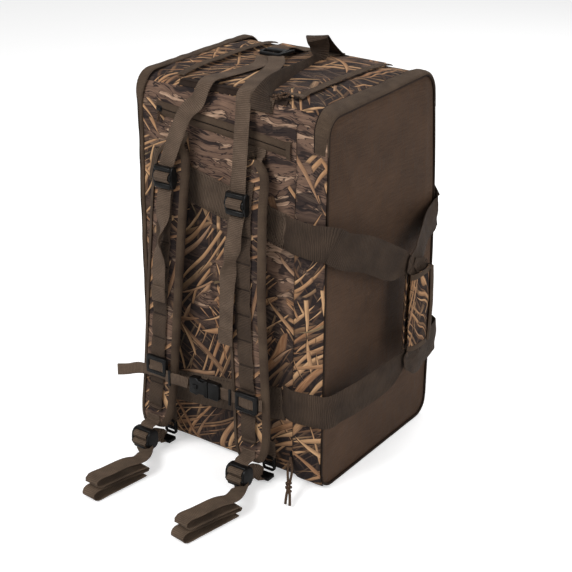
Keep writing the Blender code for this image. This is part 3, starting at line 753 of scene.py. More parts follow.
def wall(x, s, lift=0.0):
    """A place on the swollen bag, lifted off its cloth."""
    place, out = loop_point(s)
    return settled(place + X * x + out * (swell(x, s) + lift))


def front(x, z, lift=0.0):
    """A place on the harness face at a height."""
    return wall(x, z - CORNER, lift)


def loop_out(s):
    return loop_point(s)[1]


# ---- the shell -----------------------------------------------------------------------------------
def ring_sheet(name, x_low, x_high, s_low, s_high, material, lift=0.0, body="bag", step=0.005, **more):
    """Cloth wrapped over part of the section, between two x and two lengths along the loop."""
    def cloth(u, v):
        return between(x_low, x_high, u), between(s_low, s_high, v)

    def place(u, v):
        x, s = cloth(u, v)
        return wall(x, s, lift(x, s) if callable(lift) else lift)

    columns, rows = (max(1, round(span / step)) for span in (x_high - x_low, s_high - s_low))
    return sheet(name, columns, rows, place, cloth, body, material, **more)


MOUTH_LOW, MOUTH_HIGH = 0.03 - CORNER, HEIGHT - 0.03 - CORNER


def in_mouth(x, s):
    return x > MOUTH_X and MOUTH_LOW < s % LOOP_LENGTH < MOUTH_HIGH


def build_shell():
    start, top_seam, rear_seam, bottom_seam = (
        seam - ARC_LENGTH / 2 for seam in (0.0, TOP_START, REAR_START, BOTTOM_START))
    low, high = WALL_LOW.x, WALL_HIGH.x
    ring_sheet("harness_face_cloth", low, high, start, top_seam, CAMO_FRONT, skip=in_mouth)
    end = ring_sheet("top_end_cloth", low, high, top_seam, rear_seam, CAMO_END, lift=gusset_pucker,
                     step=0.004)
    ring_sheet("rear_face_cloth", low, high, rear_seam, bottom_seam, CAMO_END)
    ring_sheet("bottom_end_cloth", low, high, bottom_seam, LOOP_LENGTH + start, LID_BROWN)
    ring_sheet("wall_lining", low + 0.004, high - 0.002, start, LOOP_LENGTH + start, LINING,
               lift=lining_depth, skip=in_mouth, step=0.008, flip=True)
    rim("mouth_edge_upper", MOUTH_HIGH)
    rim("mouth_edge_lower", MOUTH_LOW)
    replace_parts(end, "side_walls")


def gusset_pucker(x, s):
    """The camouflage gussets outside the top bands are gathered into soft folds."""
    middle, half = (0.12, 0.022) if x > 0 else (-0.132, 0.034)
    share = clamp(1 - abs(x - middle) / half)
    side, along = side_share(s)
    if side != 1 or abs(along) > 1:
        return 0.0
    ends = 1 - abs(along) ** 3
    folds = ripple((x * 0.35, s, 4.0), 62.0, 2.2)
    return ends * math.sqrt(share) * (0.0045 + 0.003 * folds)


def lining_depth(x, s):
    """The lining lies inside the wall, and further in where it covers the back panel's foam."""
    side, along = side_share(s)
    over = ease((0.1 - abs(x + 0.022)) / 0.01 + 0.9) * ease((1.04 - abs(along)) / 0.05)
    return -0.0042 - (0.01 * over if side == 0 else 0.0)


def rim(name, s):
    """Binding round the raw end of the mouth."""
    points = [(wall(x, s, -0.0015), -loop_out(s))
              for x in (MOUTH_X - 0.002, 0.125, 0.142, WALL_HIGH.x - 0.001)]
    webbing(name, points, 0.006, "bag", BINDING, thickness=0.0016)


def disc_point(x_at, s, share, inset=0.0):
    """A place on an end panel: share 1 at its rim, 0 at its middle."""
    place, out = loop_point(s)
    rim_place = place - out * inset
    middle = vec(0, 0, MIDDLE)
    flat = middle + (rim_place - middle) * share
    return settled(vec(x_at(flat.y, flat.z, share), flat.y, flat.z))


def disc(name, x_at, material, body, inset=0.0, rings=34, step=0.008, flip=False):
    """A panel over one end of the section, with its height given by x_at(y, z, share)."""
    count = round(LOOP_LENGTH / step)
    points = [disc_point(x_at, 0, 0.0)]
    for ring in range(1, rings + 1):
        points += [disc_point(x_at, LOOP_LENGTH * i / count, ring / rings, inset) for i in range(count)]
    faces = []
    for i in range(count):
        after = (i + 1) % count
        faces.append((0, 1 + i, 1 + after))
        for a in range(1, 1 + (rings - 1) * count, count):
            faces.append((a + i, a + count + i, a + count + after, a + after))
    if flip:
        faces = [face[::-1] for face in faces]
    mesh = mesh_from(name, points, faces, [(p.y, p.z, 0.0) for p in points])
    return make_object(name, mesh, body, material, 60)


def base_x(y, z, share):
    edge = ease((1 - share) / 0.035)
    return WALL_LOW.x + 0.001 - edge * (0.003 + 0.0016 * ripple((y, z, 0), 9.0, 6.0))


def board_x(y, z, share):
    return WALL_LOW.x + 0.0052 + 0.0006 * ripple((y, z, 0), 14.0, 2.0)


def foot_share(s):
    """How close a place on the section is to the floor it rests on."""
    return clamp((0.012 - loop_point(s)[0].z) / 0.012)


def build_base():
    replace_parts(disc("base_cloth", base_x, LID_BROWN, "bag"), "base_panel")
    board = disc("base_lining", board_x, LINING, "bag", inset=0.006, flip=True)
    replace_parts(board, "base_stiffener")
    stations = [(wall(WALL_LOW.x - 0.0006, s, 0.0012 - 0.0034 * foot_share(s)), loop_out(s))
                for s in steps(72, 0.0, LOOP_LENGTH)[:-1]]
    sweep("base_piping", stations, oval_profile(PIPING_SIZE, PIPING_SIZE, 10), "bag", EDGE_PIPING,
          closed=True)


LID_CREASES = (  # start and end of each soft crease on the lid, as (y, z), with its depth
    ((-0.132, 0.54), (-0.06, 0.38), 0.0016), ((-0.118, 0.548), (0, 0.44), 0.0013),
    ((-0.04, 0.552), (0.02, 0.5), 0.001), ((0.118, 0.545), (0.119, 0.03), 0.0012),
    ((-0.13, 0.33), (-0.05, 0.27), 0.001), ((-0.128, 0.06), (-0.06, 0.12), 0.0014),
    ((0.11, 0.06), (0.04, 0.11), 0.0011),
)


def lid_x(y, z, share):
    """The lid's cloth: a shallow cushion with soft creases run in from its corners."""
    edge = ease((1 - share) / 0.05)
    height = 0.0022 * edge + 0.0028 * (1 - share ** 3)
    height += edge * (0.0014 * ripple((y, z, 0.5), 8.0, 1.9) + 0.0005 * ripple((y, z * 0.6, 0.5), 24.0, 4.2))
    for (y0, z0), (y1, z1), depth in LID_CREASES:
        run = vec(y1 - y0, z1 - z0)
        offset = vec(y - y0, z - z0)
        along = clamp(offset.dot(run) / run.length_squared)
        away = (offset - run * along).length
        height += edge * depth * math.exp(-(away / 0.01) ** 2) * (1 - along) ** 0.6
    return LID_HIGH.x - 0.0018 + height


def lid_lining_x(y, z, share):
    return LID_FOAM_X - 0.0012 - 0.0006 * ripple((y, z, 0), 12.0, 7.0) + (0.0075 if share > 0.93 else 0.0)


def build_lid():
    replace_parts(disc("lid_cloth", lid_x, LID_BROWN, "lid", rings=56, step=0.006), "lid_panel")
    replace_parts(disc("lid_lining", lid_lining_x, LINING, "lid", inset=0.003, flip=True), "lid_foam")
    stations = []
    for s in steps(90, 0.0, LOOP_LENGTH)[:-1]:
        wobble = 0.0004 * ripple((s, 0, 0), 20.0, 3.0) - 0.0006 * foot_share(s)
        stations.append((wall(LID_HIGH.x + 0.0006, s, -0.0016 - swell(LID_HIGH.x, s) + wobble), X))
    piping = sweep("lid_edge_piping", stations, oval_profile(PIPING_SIZE, PIPING_SIZE, 10), "lid",
                   EDGE_PIPING, closed=True)
    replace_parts(piping, "lid_piping")


BINDING_LOW, BINDING_HIGH = MOUTH_HIGH - 0.026, REAR_START + 0.026


def build_flap():
    """The camouflage strip of the lid over the main zip, and the binding round the lid's top corner."""
    def hang(x, s):
        edge = ease((x - FLAP_LOW.x) / 0.004)
        wave = 0.0009 * ripple((x * 0.5, s, 2.0), 34.0, 6.6) + 0.0006 * ripple((x, s, 3.0), 70.0, 1.4)
        return 0.0016 + 0.0016 * edge + wave

    strip = ring_sheet("storm_flap", FLAP_LOW.x, LID_HIGH.x + 0.0008, FLAP_LOW.z - CORNER - 0.018,
                       FLAP_HIGH.z - CORNER, CAMO_FLAP, lift=hang, body="lid", step=0.0035)
    thicken(strip, 0.0016)
    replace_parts(strip, "lid_flap")
    cross = ((0.143, 0.0016), (0.1434, 0.004), (0.148, 0.0046), (0.156, 0.0044), (0.1612, 0.0034),
             (0.1628, 0.0014), (0.1628, -0.0006))
    lengths = [0.0]
    for (x0, l0), (x1, l1) in zip(cross, cross[1:]):
        lengths.append(lengths[-1] + math.hypot(x1 - x0, l1 - l0))
    last = len(cross) - 1
    reach = BINDING_HIGH - BINDING_LOW

    def place(u, v):
        s = BINDING_LOW + reach * v
        x, lift = cross[round(u * last)]
        return wall(x, s, lift + 0.0006 * ripple((s, x * 0.3, 5.0), 26.0))

    band = sheet("lid_corner_band", last, round(reach / 0.004), place,
                 lambda u, v: (lengths[round(u * last)], reach * v), "lid", BINDING)
    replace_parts(band, "lid_corner_binding")
    stations = [(wall(0.1424, s, 0.0022), loop_out(s)) for s in steps(60, BINDING_LOW, BINDING_HIGH)]
    sweep("lid_band_piping", stations, oval_profile(0.0026, 0.003, 8), "lid", PIPING)


def build_hinge():
    """The cloth that joins the lid to the rear wall."""
    x_low, x_high = WALL_HIGH.x - 0.01, LID_HIGH.x + 0.0012
    strip = ring_sheet("lid_hinge_cloth", x_low, x_high, REAR_START + 0.02, REAR_START + FACE_LENGTH - 0.02,
                       BINDING, lift=0.0008, body=None, step=0.0025)
    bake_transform(strip)


def stitches(name, places, body, length=0.0032, gap=0.0016, radius=0.00035):
    """A row of stitches: short thread segments along places."""
    pieces, run, previous, segment = [], 0.0, None, []
    for row in catmull(places, 0.001):
        place = Vector(row)
        if previous is not None:
            run += (place - previous).length
        previous = place
        if run % (length + gap) < length:
            segment.append(place)
        elif segment:
            pieces.append(segment)
            segment = []
    points, faces, coords = [], [], []
    for segment in pieces:
        if len(segment) < 2:
            continue
        a, b = segment[0], segment[-1]
        along = (b - a).normalized()
        side = along.orthogonal().normalized()
        other = along.cross(side)
        base = len(points)
        for share, fat in ((0.0, 0.3), (0.25, 1.0), (0.75, 1.0), (1.0, 0.3)):
            for corner in range(4):
                angle = math.pi / 2 * corner
                points.append(a.lerp(b, share)
                              + (side * math.cos(angle) + other * math.sin(angle)) * radius * fat)
                coords.append((corner * radius, (b - a).length * share, 0.0))
        for start in range(base, base + 12, 4):
            for corner in range(4):
                c, d = start + corner, start + (corner + 1) % 4
                faces.append((c, d, d + 4, c + 4))
    return make_object(name, mesh_from(name, points, faces, coords), body, STITCH, 60)


# ---- sewn edges and bands -------------------------------------------------------------------------
def build_edge_binding():
    """The wide binding round the bag's left edge, seen on the harness face and over the top."""
    start, reach = 0.012, REAR_START + FACE_LENGTH - 0.024
    cross = ((-0.152, 0.0002), (-0.1524, 0.0018), (-0.1548, 0.0026), (-0.1588, 0.0024), (-0.1612, 0.0008),
             (-0.1622, -0.003), (-0.1622, -0.008))
    last = len(cross) - 1

    def place(u, v):
        s = start + reach * v
        column = round(u * last)
        x, lift = cross[column]
        over_top = ease((s - FACE_LENGTH + 0.02) / ARC_LENGTH)
        if column < 3:
            x += 0.0075 * over_top
        return wall(x, s, lift + 0.0036 * over_top + 0.0005 * ripple((s, x * 0.3, 9.0), 24.0))

    band = sheet("left_edge_band", last, round(reach / 0.005), place, lambda u, v: (u * 0.024, reach * v),
                 "bag", BINDING)
    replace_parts(band, "harness_edge_binding")


def top_band(name, x, node):
    """A ribbon across the top end, raised over a piped seam."""
    stations = []
    for t in steps(32):
        s = TOP_START - 0.004 + (TOP_LENGTH + 0.01) * t
        place = wall(x + 0.003 * ripple((s, 0, x * 40), 9.0), s,
                     0.0022 + 0.004 * math.sin(math.pi * t) ** 0.5)
        stations.append((place, loop_out(s)))
    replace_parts(webbing(name, stations, 0.0125, "bag", BINDING, thickness=0.0014, crown=0.0012), node)


def build_top_bands():
    top_band("top_ribbon_left", -0.1, "top_band_left")
    top_band("top_ribbon_right", 0.1, "top_band_right")


POCKET_LOW, POCKET_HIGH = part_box("end_pocket_panel")


def pocket_z(x, y):
    """Height of the end pocket's cloth: a soft dome with long slack folds."""
    u = clamp((x - POCKET_LOW.x) / (POCKET_HIGH.x - POCKET_LOW.x)) * 2 - 1
    v = clamp((y - POCKET_LOW.y) / (POCKET_HIGH.y - POCKET_LOW.y)) * 2 - 1
    dome = (1 - u ** 4) * (1 - v ** 4)
    folds = 0.0024 * ripple((x * 0.6, y, 0.4), 22.0, 2.7) + 0.0012 * ripple((x, y * 0.6, 1.4), 45.0, 5.1)
    return POCKET_LOW.z + 0.0004 + (0.0052 + folds) * dome


def build_end_pocket():
    size = POCKET_HIGH - POCKET_LOW

    def place(u, v):
        x, y = POCKET_LOW.x + size.x * u, POCKET_LOW.y + size.y * v
        return settled(vec(x, y, pocket_z(x, y)))

    def cloth(u, v):
        return POCKET_LOW.x + size.x * u, TOP_START + POCKET_LOW.y - FRONT - CORNER + size.y * v

    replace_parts(sheet("end_pocket_cloth", 56, 76, place, cloth, "bag", CAMO_END), "end_pocket_panel")


def haul_band_line(level):
    low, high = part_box(f"haul_band_front_{level}")
    rises = level == "lower"
    left_z = low.z + HAUL_WIDTH / 2 if rises else high.z - HAUL_WIDTH / 2
    right_z = high.z - HAUL_WIDTH / 2 if rises else low.z + HAUL_WIDTH / 2
    return low.x + 0.003, left_z, high.x - 0.002, right_z


def build_haul_bands():
    for level in ("upper", "lower"):
        x0, z0, x1, z1 = haul_band_line(level)
        for face in ("front", "rear"):
            stations = []
            for t in steps(24):
                z = between(z0, z1, t)
                s = z - CORNER if face == "front" else REAR_START + HEIGHT - CORNER - z
                stations.append((wall(between(x0, x1, t), s, 0.001), loop_out(s)))
            band = webbing(f"haul_webbing_{face}_{level}", stations, HAUL_WIDTH, "bag", HAUL)
            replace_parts(band, f"haul_band_{face}_{level}")
        slope = vec(x1 - x0, 0, z1 - z0).normalized()
        side = vec(-slope.z, 0, slope.x)
        for number, sign in enumerate((-1, 1)):
            line, inset = [], side * sign * (HAUL_WIDTH / 2 - 0.004)
            for x in steps(12, x0 + 0.004, x1 - 0.004):
                moved = vec(x, 0, between(z0, z1, (x - x0) / (x1 - x0))) + inset
                line.append(front(moved.x, moved.z, 0.0021))
            stitches(f"haul_stitch_{level}_{number}", line, "bag")
        build_box_stitch(level, x1, z1)


def build_box_stitch(level, x, z):
    """The crossed box of thread that holds a haul handle's foot."""
    corners = [(x - 0.006, z - 0.021), (x - 0.006, z + 0.021), (x - 0.046, z + 0.023), (x - 0.046, z - 0.019),
               (x - 0.006, z - 0.021), (x - 0.046, z + 0.023)]
    for number, (a, b) in enumerate(zip(corners, corners[1:])):
        line = [front(between(a[0], b[0], t), between(a[1], b[1], t), 0.0023) for t in steps(4)]
        stitches(f"haul_box_{level}_{number}", line, "bag")


# ---- haul handles ---------------------------------------------------------------------------------
GRIP_Y = 0.022


def haul_stations(sign, grip_x):
    """The loop's middle line: off its face, round the lid's edge, across the lid and down the grip."""
    y = sign * FRONT
    face, out = vec(0, -sign, 0), X
    corner = (face + out).normalized()

    def leg(z_face, z_edge, z_far, z_turn, z_grip, tuck=0.0):
        """One leg from the sewn foot out to the grip; z falls or rises along it, tuck draws it to the lid."""
        return [
            ((0.094, y - sign * 0.0026, z_face), face),
            ((0.101, y - sign * 0.006, z_face), face),
            ((0.115, y - sign * 0.0112, z_face), face),
            ((0.148, y - sign * (0.0118 - tuck * 0.6), z_edge), face),
            ((0.169 - tuck * 0.5, y - sign * (0.004 - tuck * 0.6), z_edge), corner),
            ((0.179 - tuck, y + sign * 0.018, (z_edge * 3 + z_far) / 4), out),
            ((0.188 - tuck, y + sign * 0.056, (z_edge + z_far) / 2), out),
            ((grip_x - 0.004 - tuck / 2, y + sign * 0.106, z_far), out, 0.98),
            ((grip_x - 0.001, y + sign * 0.13, (z_far + z_turn) / 2), out, 0.8),
            ((grip_x, y + sign * 0.148, z_turn), out, 0.54),
            ((grip_x + 0.001, GRIP_Y - 0.011 * sign, (z_turn + z_grip) / 2), out, 0.42),
            ((grip_x + 0.001, GRIP_Y - 0.003 * sign, z_grip), out, 0.4)]

    upper = leg(0.383, 0.381 if sign > 0 else 0.346, 0.328, 0.311, 0.298, 0.0 if sign > 0 else 0.01)
    lower = leg(0.13, 0.133 if sign > 0 else 0.142, 0.152, 0.168, 0.182)
    grip = [((grip_x + 0.0008, GRIP_Y, z), out, 0.46) for z in (0.27, 0.21)]
    return upper + grip + lower[::-1]


def leg_fold(across, along):
    """Webbing that is pulled towards the grip folds up along its middle."""
    return 0.001 * math.sin(across * 150 + along * 14)


def build_haul_handles():
    for side, sign, face_y in (("front", 1, FRONT), ("rear", -1, REAR)):
        node = f"haul_loop_{side}"
        stations = haul_stations(sign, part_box(node)[1].x - 0.0006)
        loop = webbing(f"haul_handle_{side}", stations, HAUL_WIDTH, None, LOOP, lift=leg_fold)
        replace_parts(loop, node)
        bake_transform(loop)
    build_grip()


def build_grip():
    """The wrap that holds both handles together: a padded camouflage sleeve that opens on its front edge."""
    low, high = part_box("grip_wrap")
    tall = high.z - low.z
    y_high = high.y + 0.001
    inner_x, outer_x = low.x - 0.0006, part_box("grip_wrap_flap")[1].x + 0.001
    middle_y, half_y = (low.y + high.y) / 2, (high.y - low.y) / 2 + 0.001
    middle_x, half_x = (inner_x + outer_x) / 2, (outer_x - inner_x) / 2
    opening, squareness = 0.05, 0.62

    def ring_point(u, v, grow=0.0):
        """u runs round the sleeve from its opening on the front edge; v up it."""
        angle = 2 * math.pi * (opening / 2 + (1 - opening) * u)
        c, t = math.cos(angle), math.sin(angle)
        bulge = 1 + 0.06 * math.sin(math.pi * v) + 0.05 * ripple((u * 3, v * 3, 2.0), 1.6)
        y = middle_y - (half_y * bulge + grow) * math.copysign(abs(c) ** squareness, c)
        x = middle_x + (half_x * bulge + grow) * math.copysign(abs(t) ** squareness, t)
        return vec(x, y, low.z + tall * v - 0.002 * math.sin(math.pi * u) * (1 - 2 * v))

    # The outer half is the flap.
    for half, shift, body, node in (("outer", 0.0, None, "grip_wrap_flap"),
                                    ("inner", 0.5, "haul_front", "grip_wrap")):
        cloth = sheet(f"grip_wrap_{half}", 30, 36, lambda u, v: ring_point(shift + 0.5 - u * 0.5, v),
                      lambda u, v: ((u + shift) * 0.115, v * tall), body, CAMO_GRIP)
        thicken(cloth, 0.0022, 0)
        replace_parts(cloth, node)
        pieces = [cloth]
        for end, v in (("upper", 0.975), ("lower", 0.025)):
            places = [ring_point(u, v, 0.0014) for u in steps(16, shift, shift + 0.5)]
            stations = [(place, place - vec(middle_x, middle_y, place.z)) for place in places]
            pieces.append(webbing(f"grip_hem_{end}_{half}", stations, 0.0085, body, BINDING,
                                  thickness=0.0012))
        if body is None:
            for piece in pieces:
                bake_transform(piece)
    edge = []
    for v in steps(12, 0.01, 0.99):
        bulge = 0.004 * math.sin(math.pi * v) + 0.0012 * ripple((v * 3, 0, 7.0), 1.4)
        edge.append(((outer_x - 0.0004, y_high + 0.001 + bulge, low.z + tall * v), X + Y * 0.35))
    webbing("grip_edge_binding", edge, 0.015, "haul_front", BINDING, thickness=0.004, crown=0.0012)


# ---- top carry handle ------------------------------------------------------------------------------
def build_carry_handle():
    """2 inch webbing folded along its middle, standing up between two sewn feet."""
    rows = [  # place, outward, width share
        ((0.053, -0.1545, 0.543), (0.05, -1, 0.35), 0.74),
        ((0.0535, -0.151, 0.553), (0.3, -1, 0.5), 0.66),
        ((0.0525, -0.14, 0.565), (0.85, -0.5, 0.3), 0.54),
        ((0.049, -0.118, 0.5715), (0.93, -0.3, 0.12), 0.52),
        ((0.0425, -0.0843, 0.572), (0.97, -0.2, 0.08), 0.5),
        ((0.0345, -0.045, 0.5705), (0.97, -0.2, 0.06), 0.5),
        ((0.0275, -0.0125, 0.569), (0.97, -0.2, 0.05), 0.5),
        ((0.022, 0.013, 0.568), (0.96, -0.3, 0.02), 0.5),
        ((0.018, 0.033, 0.57), (0.92, -0.4, 0.0), 0.52),
        ((0.0172, 0.042, 0.581), (0.75, -0.65, 0.0), 0.56),
        ((0.019, 0.037, 0.593), (0.45, -0.85, 0.15), 0.6),
        ((0.0215, 0.028, 0.601), (0.2, -0.6, 0.75), 0.62),
        ((0.019, 0.031, 0.605), (-0.1, -0.1, 1.0), 0.66),
        ((0.012, 0.044, 0.603), (-0.1, 0.2, 1.0), 0.72),
        ((0.008, 0.06, 0.594), (0.0, 0.6, 1.0), 0.8),
        ((0.004, 0.08, 0.58), (0, 0.6, 1.0), 0.88),
        ((0.001, 0.098, 0.569), (0, 0.5, 1.0), 0.94),
        ((0.0000, 0.112, 0.564), (0, 0.2, 1.0), 0.94),
    ]
    folded = 0.72 * sum(math.dist(a[0], b[0]) for a, b in zip(rows, rows[1:]))

    def fold(across, along):
        share = math.sin(math.pi * along / folded) ** 1.5 if along < folded else 0.0
        return -14.0 * share * across * across

    handle = webbing("carry_handle_webbing", rows, 0.047, "carry", LOOP, lift=fold)
    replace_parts(handle, "carry_handle")
    foot = [(wall(0.052, TOP_START - down, lift), (0, -1, up), share)
            for down, lift, up, share in ((0.016, 0.003, 0.8, 0.8), (0.026, 0.0026, 0.5, 0.86),
                                          (0.036, 0.002, 0.3, 0.9))]
    webbing("carry_foot_front", foot, 0.046, "bag", HAUL)
    patch = [(settled(vec(0, y, pocket_z(0, y) + 0.0012)), Z) for y in (0.098, 0.112, 0.124, 0.132)]
    webbing("carry_foot_rear", patch, 0.046, "bag", HAUL)


# ---- harness ----------------------------------------------------------------------------------------
PAD_PROFILE = (  # height, distance from the harness face to the pad's middle, share of its full width
    (0.478, 0.012, 0.3), (0.4715, 0.0136, 0.62), (0.462, 0.0156, 0.84), (0.448, 0.019, 0.96),
    (0.415, 0.0248, 1.0), (0.35, 0.0262, 1.0), (0.28, 0.0268, 1.0), (0.2, 0.0272, 1.0),
    (0.13, 0.0272, 1.0), (0.095, 0.028, 1.0), (0.07, 0.03, 0.97), (0.054, 0.0322, 0.88),
    (0.044, 0.034, 0.74), (0.0375, 0.0352, 0.5),
)
PAD_WIDTH = 0.06
PAD_THICKNESS = 0.0135


def pad_x(side, z):
    """Where a pad's centre line is at a height: both lean outwards towards the bottom."""
    if side == "right":
        return 0.048 + (0.008 * (0.28 - z) / 0.15 if z < 0.28 else 0.0)
    return -0.085 - 0.031 * (0.42 - min(z, 0.42)) / 0.36


def pad_station(side, z, forward=0.0):
    """The middle of a pad at a height, moved forward out of it."""
    off = PAD_PROFILE[-1][1]
    for (z0, off0, _), (z1, off1, _) in zip(PAD_PROFILE, PAD_PROFILE[1:]):
        if z >= z1:
            off = between(off0, off1, clamp((z0 - z) / (z0 - z1)))
            break
    return vec(pad_x(side, z), FRONT - off - forward, z)


def pad_section():
    """Flat at the back, plump in front, pinched to a seam at both edges."""
    half, thick = PAD_WIDTH / 2, PAD_THICKNESS / 2
    top = [(a, thick * (1 - min(abs(a / half), 1.0) ** 3.2) ** 0.6) for a in steps(16, -half, half)]
    return top + [(a, -b * 0.85) for a, b in reversed(top[1:-1])]


def build_pads():
    for side, seed in (("right", 3.0), ("left", 8.0)):
        def puffs(across, along):
            dent = -0.001 * math.exp(-(across / 0.011) ** 2)
            fine = 0.0008 * ripple((across * 1.4, along, seed), 85.0)
            return dent + 0.0011 * ripple((across, along * 0.8, seed), 40.0) + fine

        stations = [(pad_station(side, z), -Y, share) for z, _, share in PAD_PROFILE]
        pad = sweep(f"harness_pad_{side}", stations, pad_section(), "harness", CAMO_PAD, lift=puffs,
                    spacing=0.004)
        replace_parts(pad, f"pad_{side}")
        build_pad_binding(side)
        build_daisy(side)
        build_hanger(side)


def build_pad_binding(side):
    """Binding folded over both edges of a pad and round its two ends."""
    edge = []
    for sign in (-1, 1):
        for z, _, share in PAD_PROFILE[::-sign]:
            edge.append((pad_station(side, z) + X * sign * (PAD_WIDTH / 2 * share + 0.0004), X * sign))
    section = ((-0.0062, -0.01), (-0.0056, -0.0052), (-0.0042, -0.0018), (-0.0022, 0.0006), (0.0, 0.0012),
               (0.0022, 0.0006), (0.0042, -0.0018), (0.0054, -0.0052), (0.006, -0.01), (0.0046, -0.01),
               (0.004, -0.0052), (0.0026, -0.0028), (0.0, -0.0016), (-0.0026, -0.0028), (-0.0042, -0.0052),
               (-0.0048, -0.01))
    section = [(a * 1.18, b * 0.74) for a, b in section]
    sweep(f"pad_binding_{side}", edge, section, "harness", BINDING, closed=True, spacing=0.004)


TACK_PITCH = 0.038


def build_daisy(side):
    """Webbing sewn down the pad's middle with a bar-tack every pitch, bulging between them."""
    node = f"daisy_web_{side}"
    low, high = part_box(node)
    bottom = low.z - 0.008
    tacks, z = [], high.z - 0.001
    while z > bottom:
        tacks.append(z)
        z -= TACK_PITCH
    proud = PAD_THICKNESS / 2 + 0.0004
    stations = [pad_station(side, between(top, end, share), proud + raise_by)
                for top, end in zip(tacks, tacks[1:] + [bottom])
                for share, raise_by in ((0.0, 0.0), (0.12, 0.0012), (0.5, 0.0026), (0.88, 0.0012))]
    stations.append(pad_station(side, bottom, proud))
    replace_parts(webbing(f"daisy_webbing_{side}", stations, STRAP_WIDTH, "harness", DAISY, spacing=0.003),
                node)
    for number, height in enumerate(tacks[1:-1]):
        place = pad_station(side, height, proud + 0.0013)
        block(f"daisy_tack_{side}_{number}", place - vec(0.0112, 0.0005, 0.0011),
              place + vec(0.0112, 0.0004, 0.0011), "harness", STITCH, 0.0004, 2)


def build_hanger(side):
    """The wide webbing that holds a pad's top to the harness face."""
    x = pad_x(side, 0.478)
    stations = [front(x, 0.493, 0.0016), front(x, 0.486, 0.0024), (front(x, 0.48, 0.006), (0, -1, 0.3), 0.97),
                ((x, FRONT - 0.015, 0.473), -Y, 0.95), ((x, FRONT - 0.021, 0.463), -Y, 0.93)]
    web = webbing(f"pad_hanger_webbing_{side}", stations, 0.034, None, WEBBING)
    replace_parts(web, f"pad_hanger_{side}")
    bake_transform(web)


def bar(name, centre, width, radius, body):
    """A rounded bar lying along X."""
    stations = [centre + X * (width * share) for share in steps(4, -0.5, 0.5)]
    return sweep(name, stations, oval_profile(2 * radius, 2 * radius, 14), body, PLASTIC)


def cheek(name, x, centre, depth, height, body):
    """The side wall of a ladder-lock: a rounded plate in the Y-Z plane."""
    def rounded(value):
        return math.copysign(abs(value) ** 0.75, value)

    outline = [(depth / 2 * rounded(math.cos(a)), height / 2 * rounded(math.sin(a)))
               for a in steps(20, 0.0, 2 * math.pi)[:-1]]
    matrix = Matrix.Translation((x, centre.y, centre.z)) @ Matrix((Y, Z, X)).transposed().to_4x4()
    return moulded_plate(name, outline, [], 0.004, matrix, body, edge=0.001)


def web_barrel(name, centre, width, radius, body, material):
    """Webbing turned tightly round a bar."""
    outs = [vec(0, -math.cos(a), math.sin(a)) for a in map(math.radians, range(0, 360, 24))]
    return sweep(name, [(centre + out * radius, out) for out in outs], band_profile(width, 0.0016), body,
                 material, closed=True, spacing=0.0016)


def ladder_lock(name, node, body, depth, bars, barrels, material, shift=(0, 0, 0)):
    """A moulded ladder-lock: two cheeks, plain bars (y, z, half depth, half height) between them, and
    barrels (y, z, radius) of webbing turned round its inner bars."""
    low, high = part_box(node)
    centre = (low + high) / 2 + Vector(shift)
    width, height = high.x - low.x, high.z - low.z
    inside = width / 2 - 0.002
    pieces = [cheek(f"{name}_cheek_{k}", centre.x + sign * inside, centre, depth, height, body)
              for k, sign in enumerate((-1, 1))]
    for k, (y, z, half_depth, half_height) in enumerate(bars):
        middle, size = centre + vec(0, y, z), vec(inside, half_depth, half_height)
        pieces.append(block(f"{name}_bar_{k}", middle - size, middle + size, body, PLASTIC,
                            min(half_depth, half_height) * 0.7, 4))
    for k, (y, z, radius) in enumerate(barrels):
        pieces.append(bar(f"{name}_core_{k}", centre + vec(0, y, z), width - 0.002, radius - 0.0012, body))
    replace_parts(join(name, pieces), node)
    for k, (y, z, radius) in enumerate(barrels):
        web_barrel(f"{name}_wrap_{k}", centre + vec(0, y, z), width - 0.0082, radius, body, material)
    return centre


def build_upper_locks():
    bars = ((-0.003, 0.0124, 0.0046, 0.0034), (-0.0036, -0.0112, 0.0046, 0.004))
    for side in ("right", "left"):
        ladder_lock(f"upper_lock_{side}", f"upper_ladder_lock_{side}", f"upper_lock_{side}", 0.013, bars,
                    ((-0.0026, 0.001, 0.0076),), WEBBING)


LIFTERS = {  # x at the bag's top edge, then (x, y) along the end to the buckle, and the tail's end height
    "right": (0.027, ((0.02, -0.108), (0.008, -0.056), (-0.008, -0.014), (-0.025, 0.011)), 0.215),
    "left": (-0.041, ((-0.035, -0.106), (-0.028, -0.064), (-0.026, -0.028), (-0.044, 0.011)), 0.25)}


def build_lifter_webs():
    """From the ladder-lock up over the top edge to the buckle, with a free tail hanging in front."""
    for side, (edge_x, run, tail_z) in LIFTERS.items():
        x, y, z = node_middle(f"upper_ladder_lock_{side}")
        up = [((x, y + 0.001, z + 0.007), (0, -1, 1)),
              vec(x, y + 0.0024, z + 0.013),
              vec(between(x, edge_x, 0.1), y + 0.005, z + 0.03),
              vec(between(x, edge_x, 0.5), y + 0.0185, z + 0.086),
              ((between(x, edge_x, 0.84), FRONT - 0.0085, HEIGHT - 0.02), (0, -1, 0.15)),
              ((edge_x, FRONT - 0.002, HEIGHT + 0.001), (0, -0.8, 0.8)),
              ((edge_x, FRONT + 0.012, HEIGHT + 0.0085), (0, -0.3, 1))]
        over = HEIGHT + (0.0105 if side == "right" else 0.0082)
        up += [(settled(vec(a, b, over + 0.001 * k)), Z) for k, (a, b) in enumerate(run)]
        web = webbing(f"lifter_webbing_{side}", up, STRAP_SEEN, None, WEBBING)
        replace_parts(web, f"lifter_web_{side}")
        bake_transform(web)
        build_lifter_tail(side, x, y, z, tail_z)


TAIL_TURNS = {"right": (0.345, -0.016, 1), "left": (0.352, -0.012, -1)}


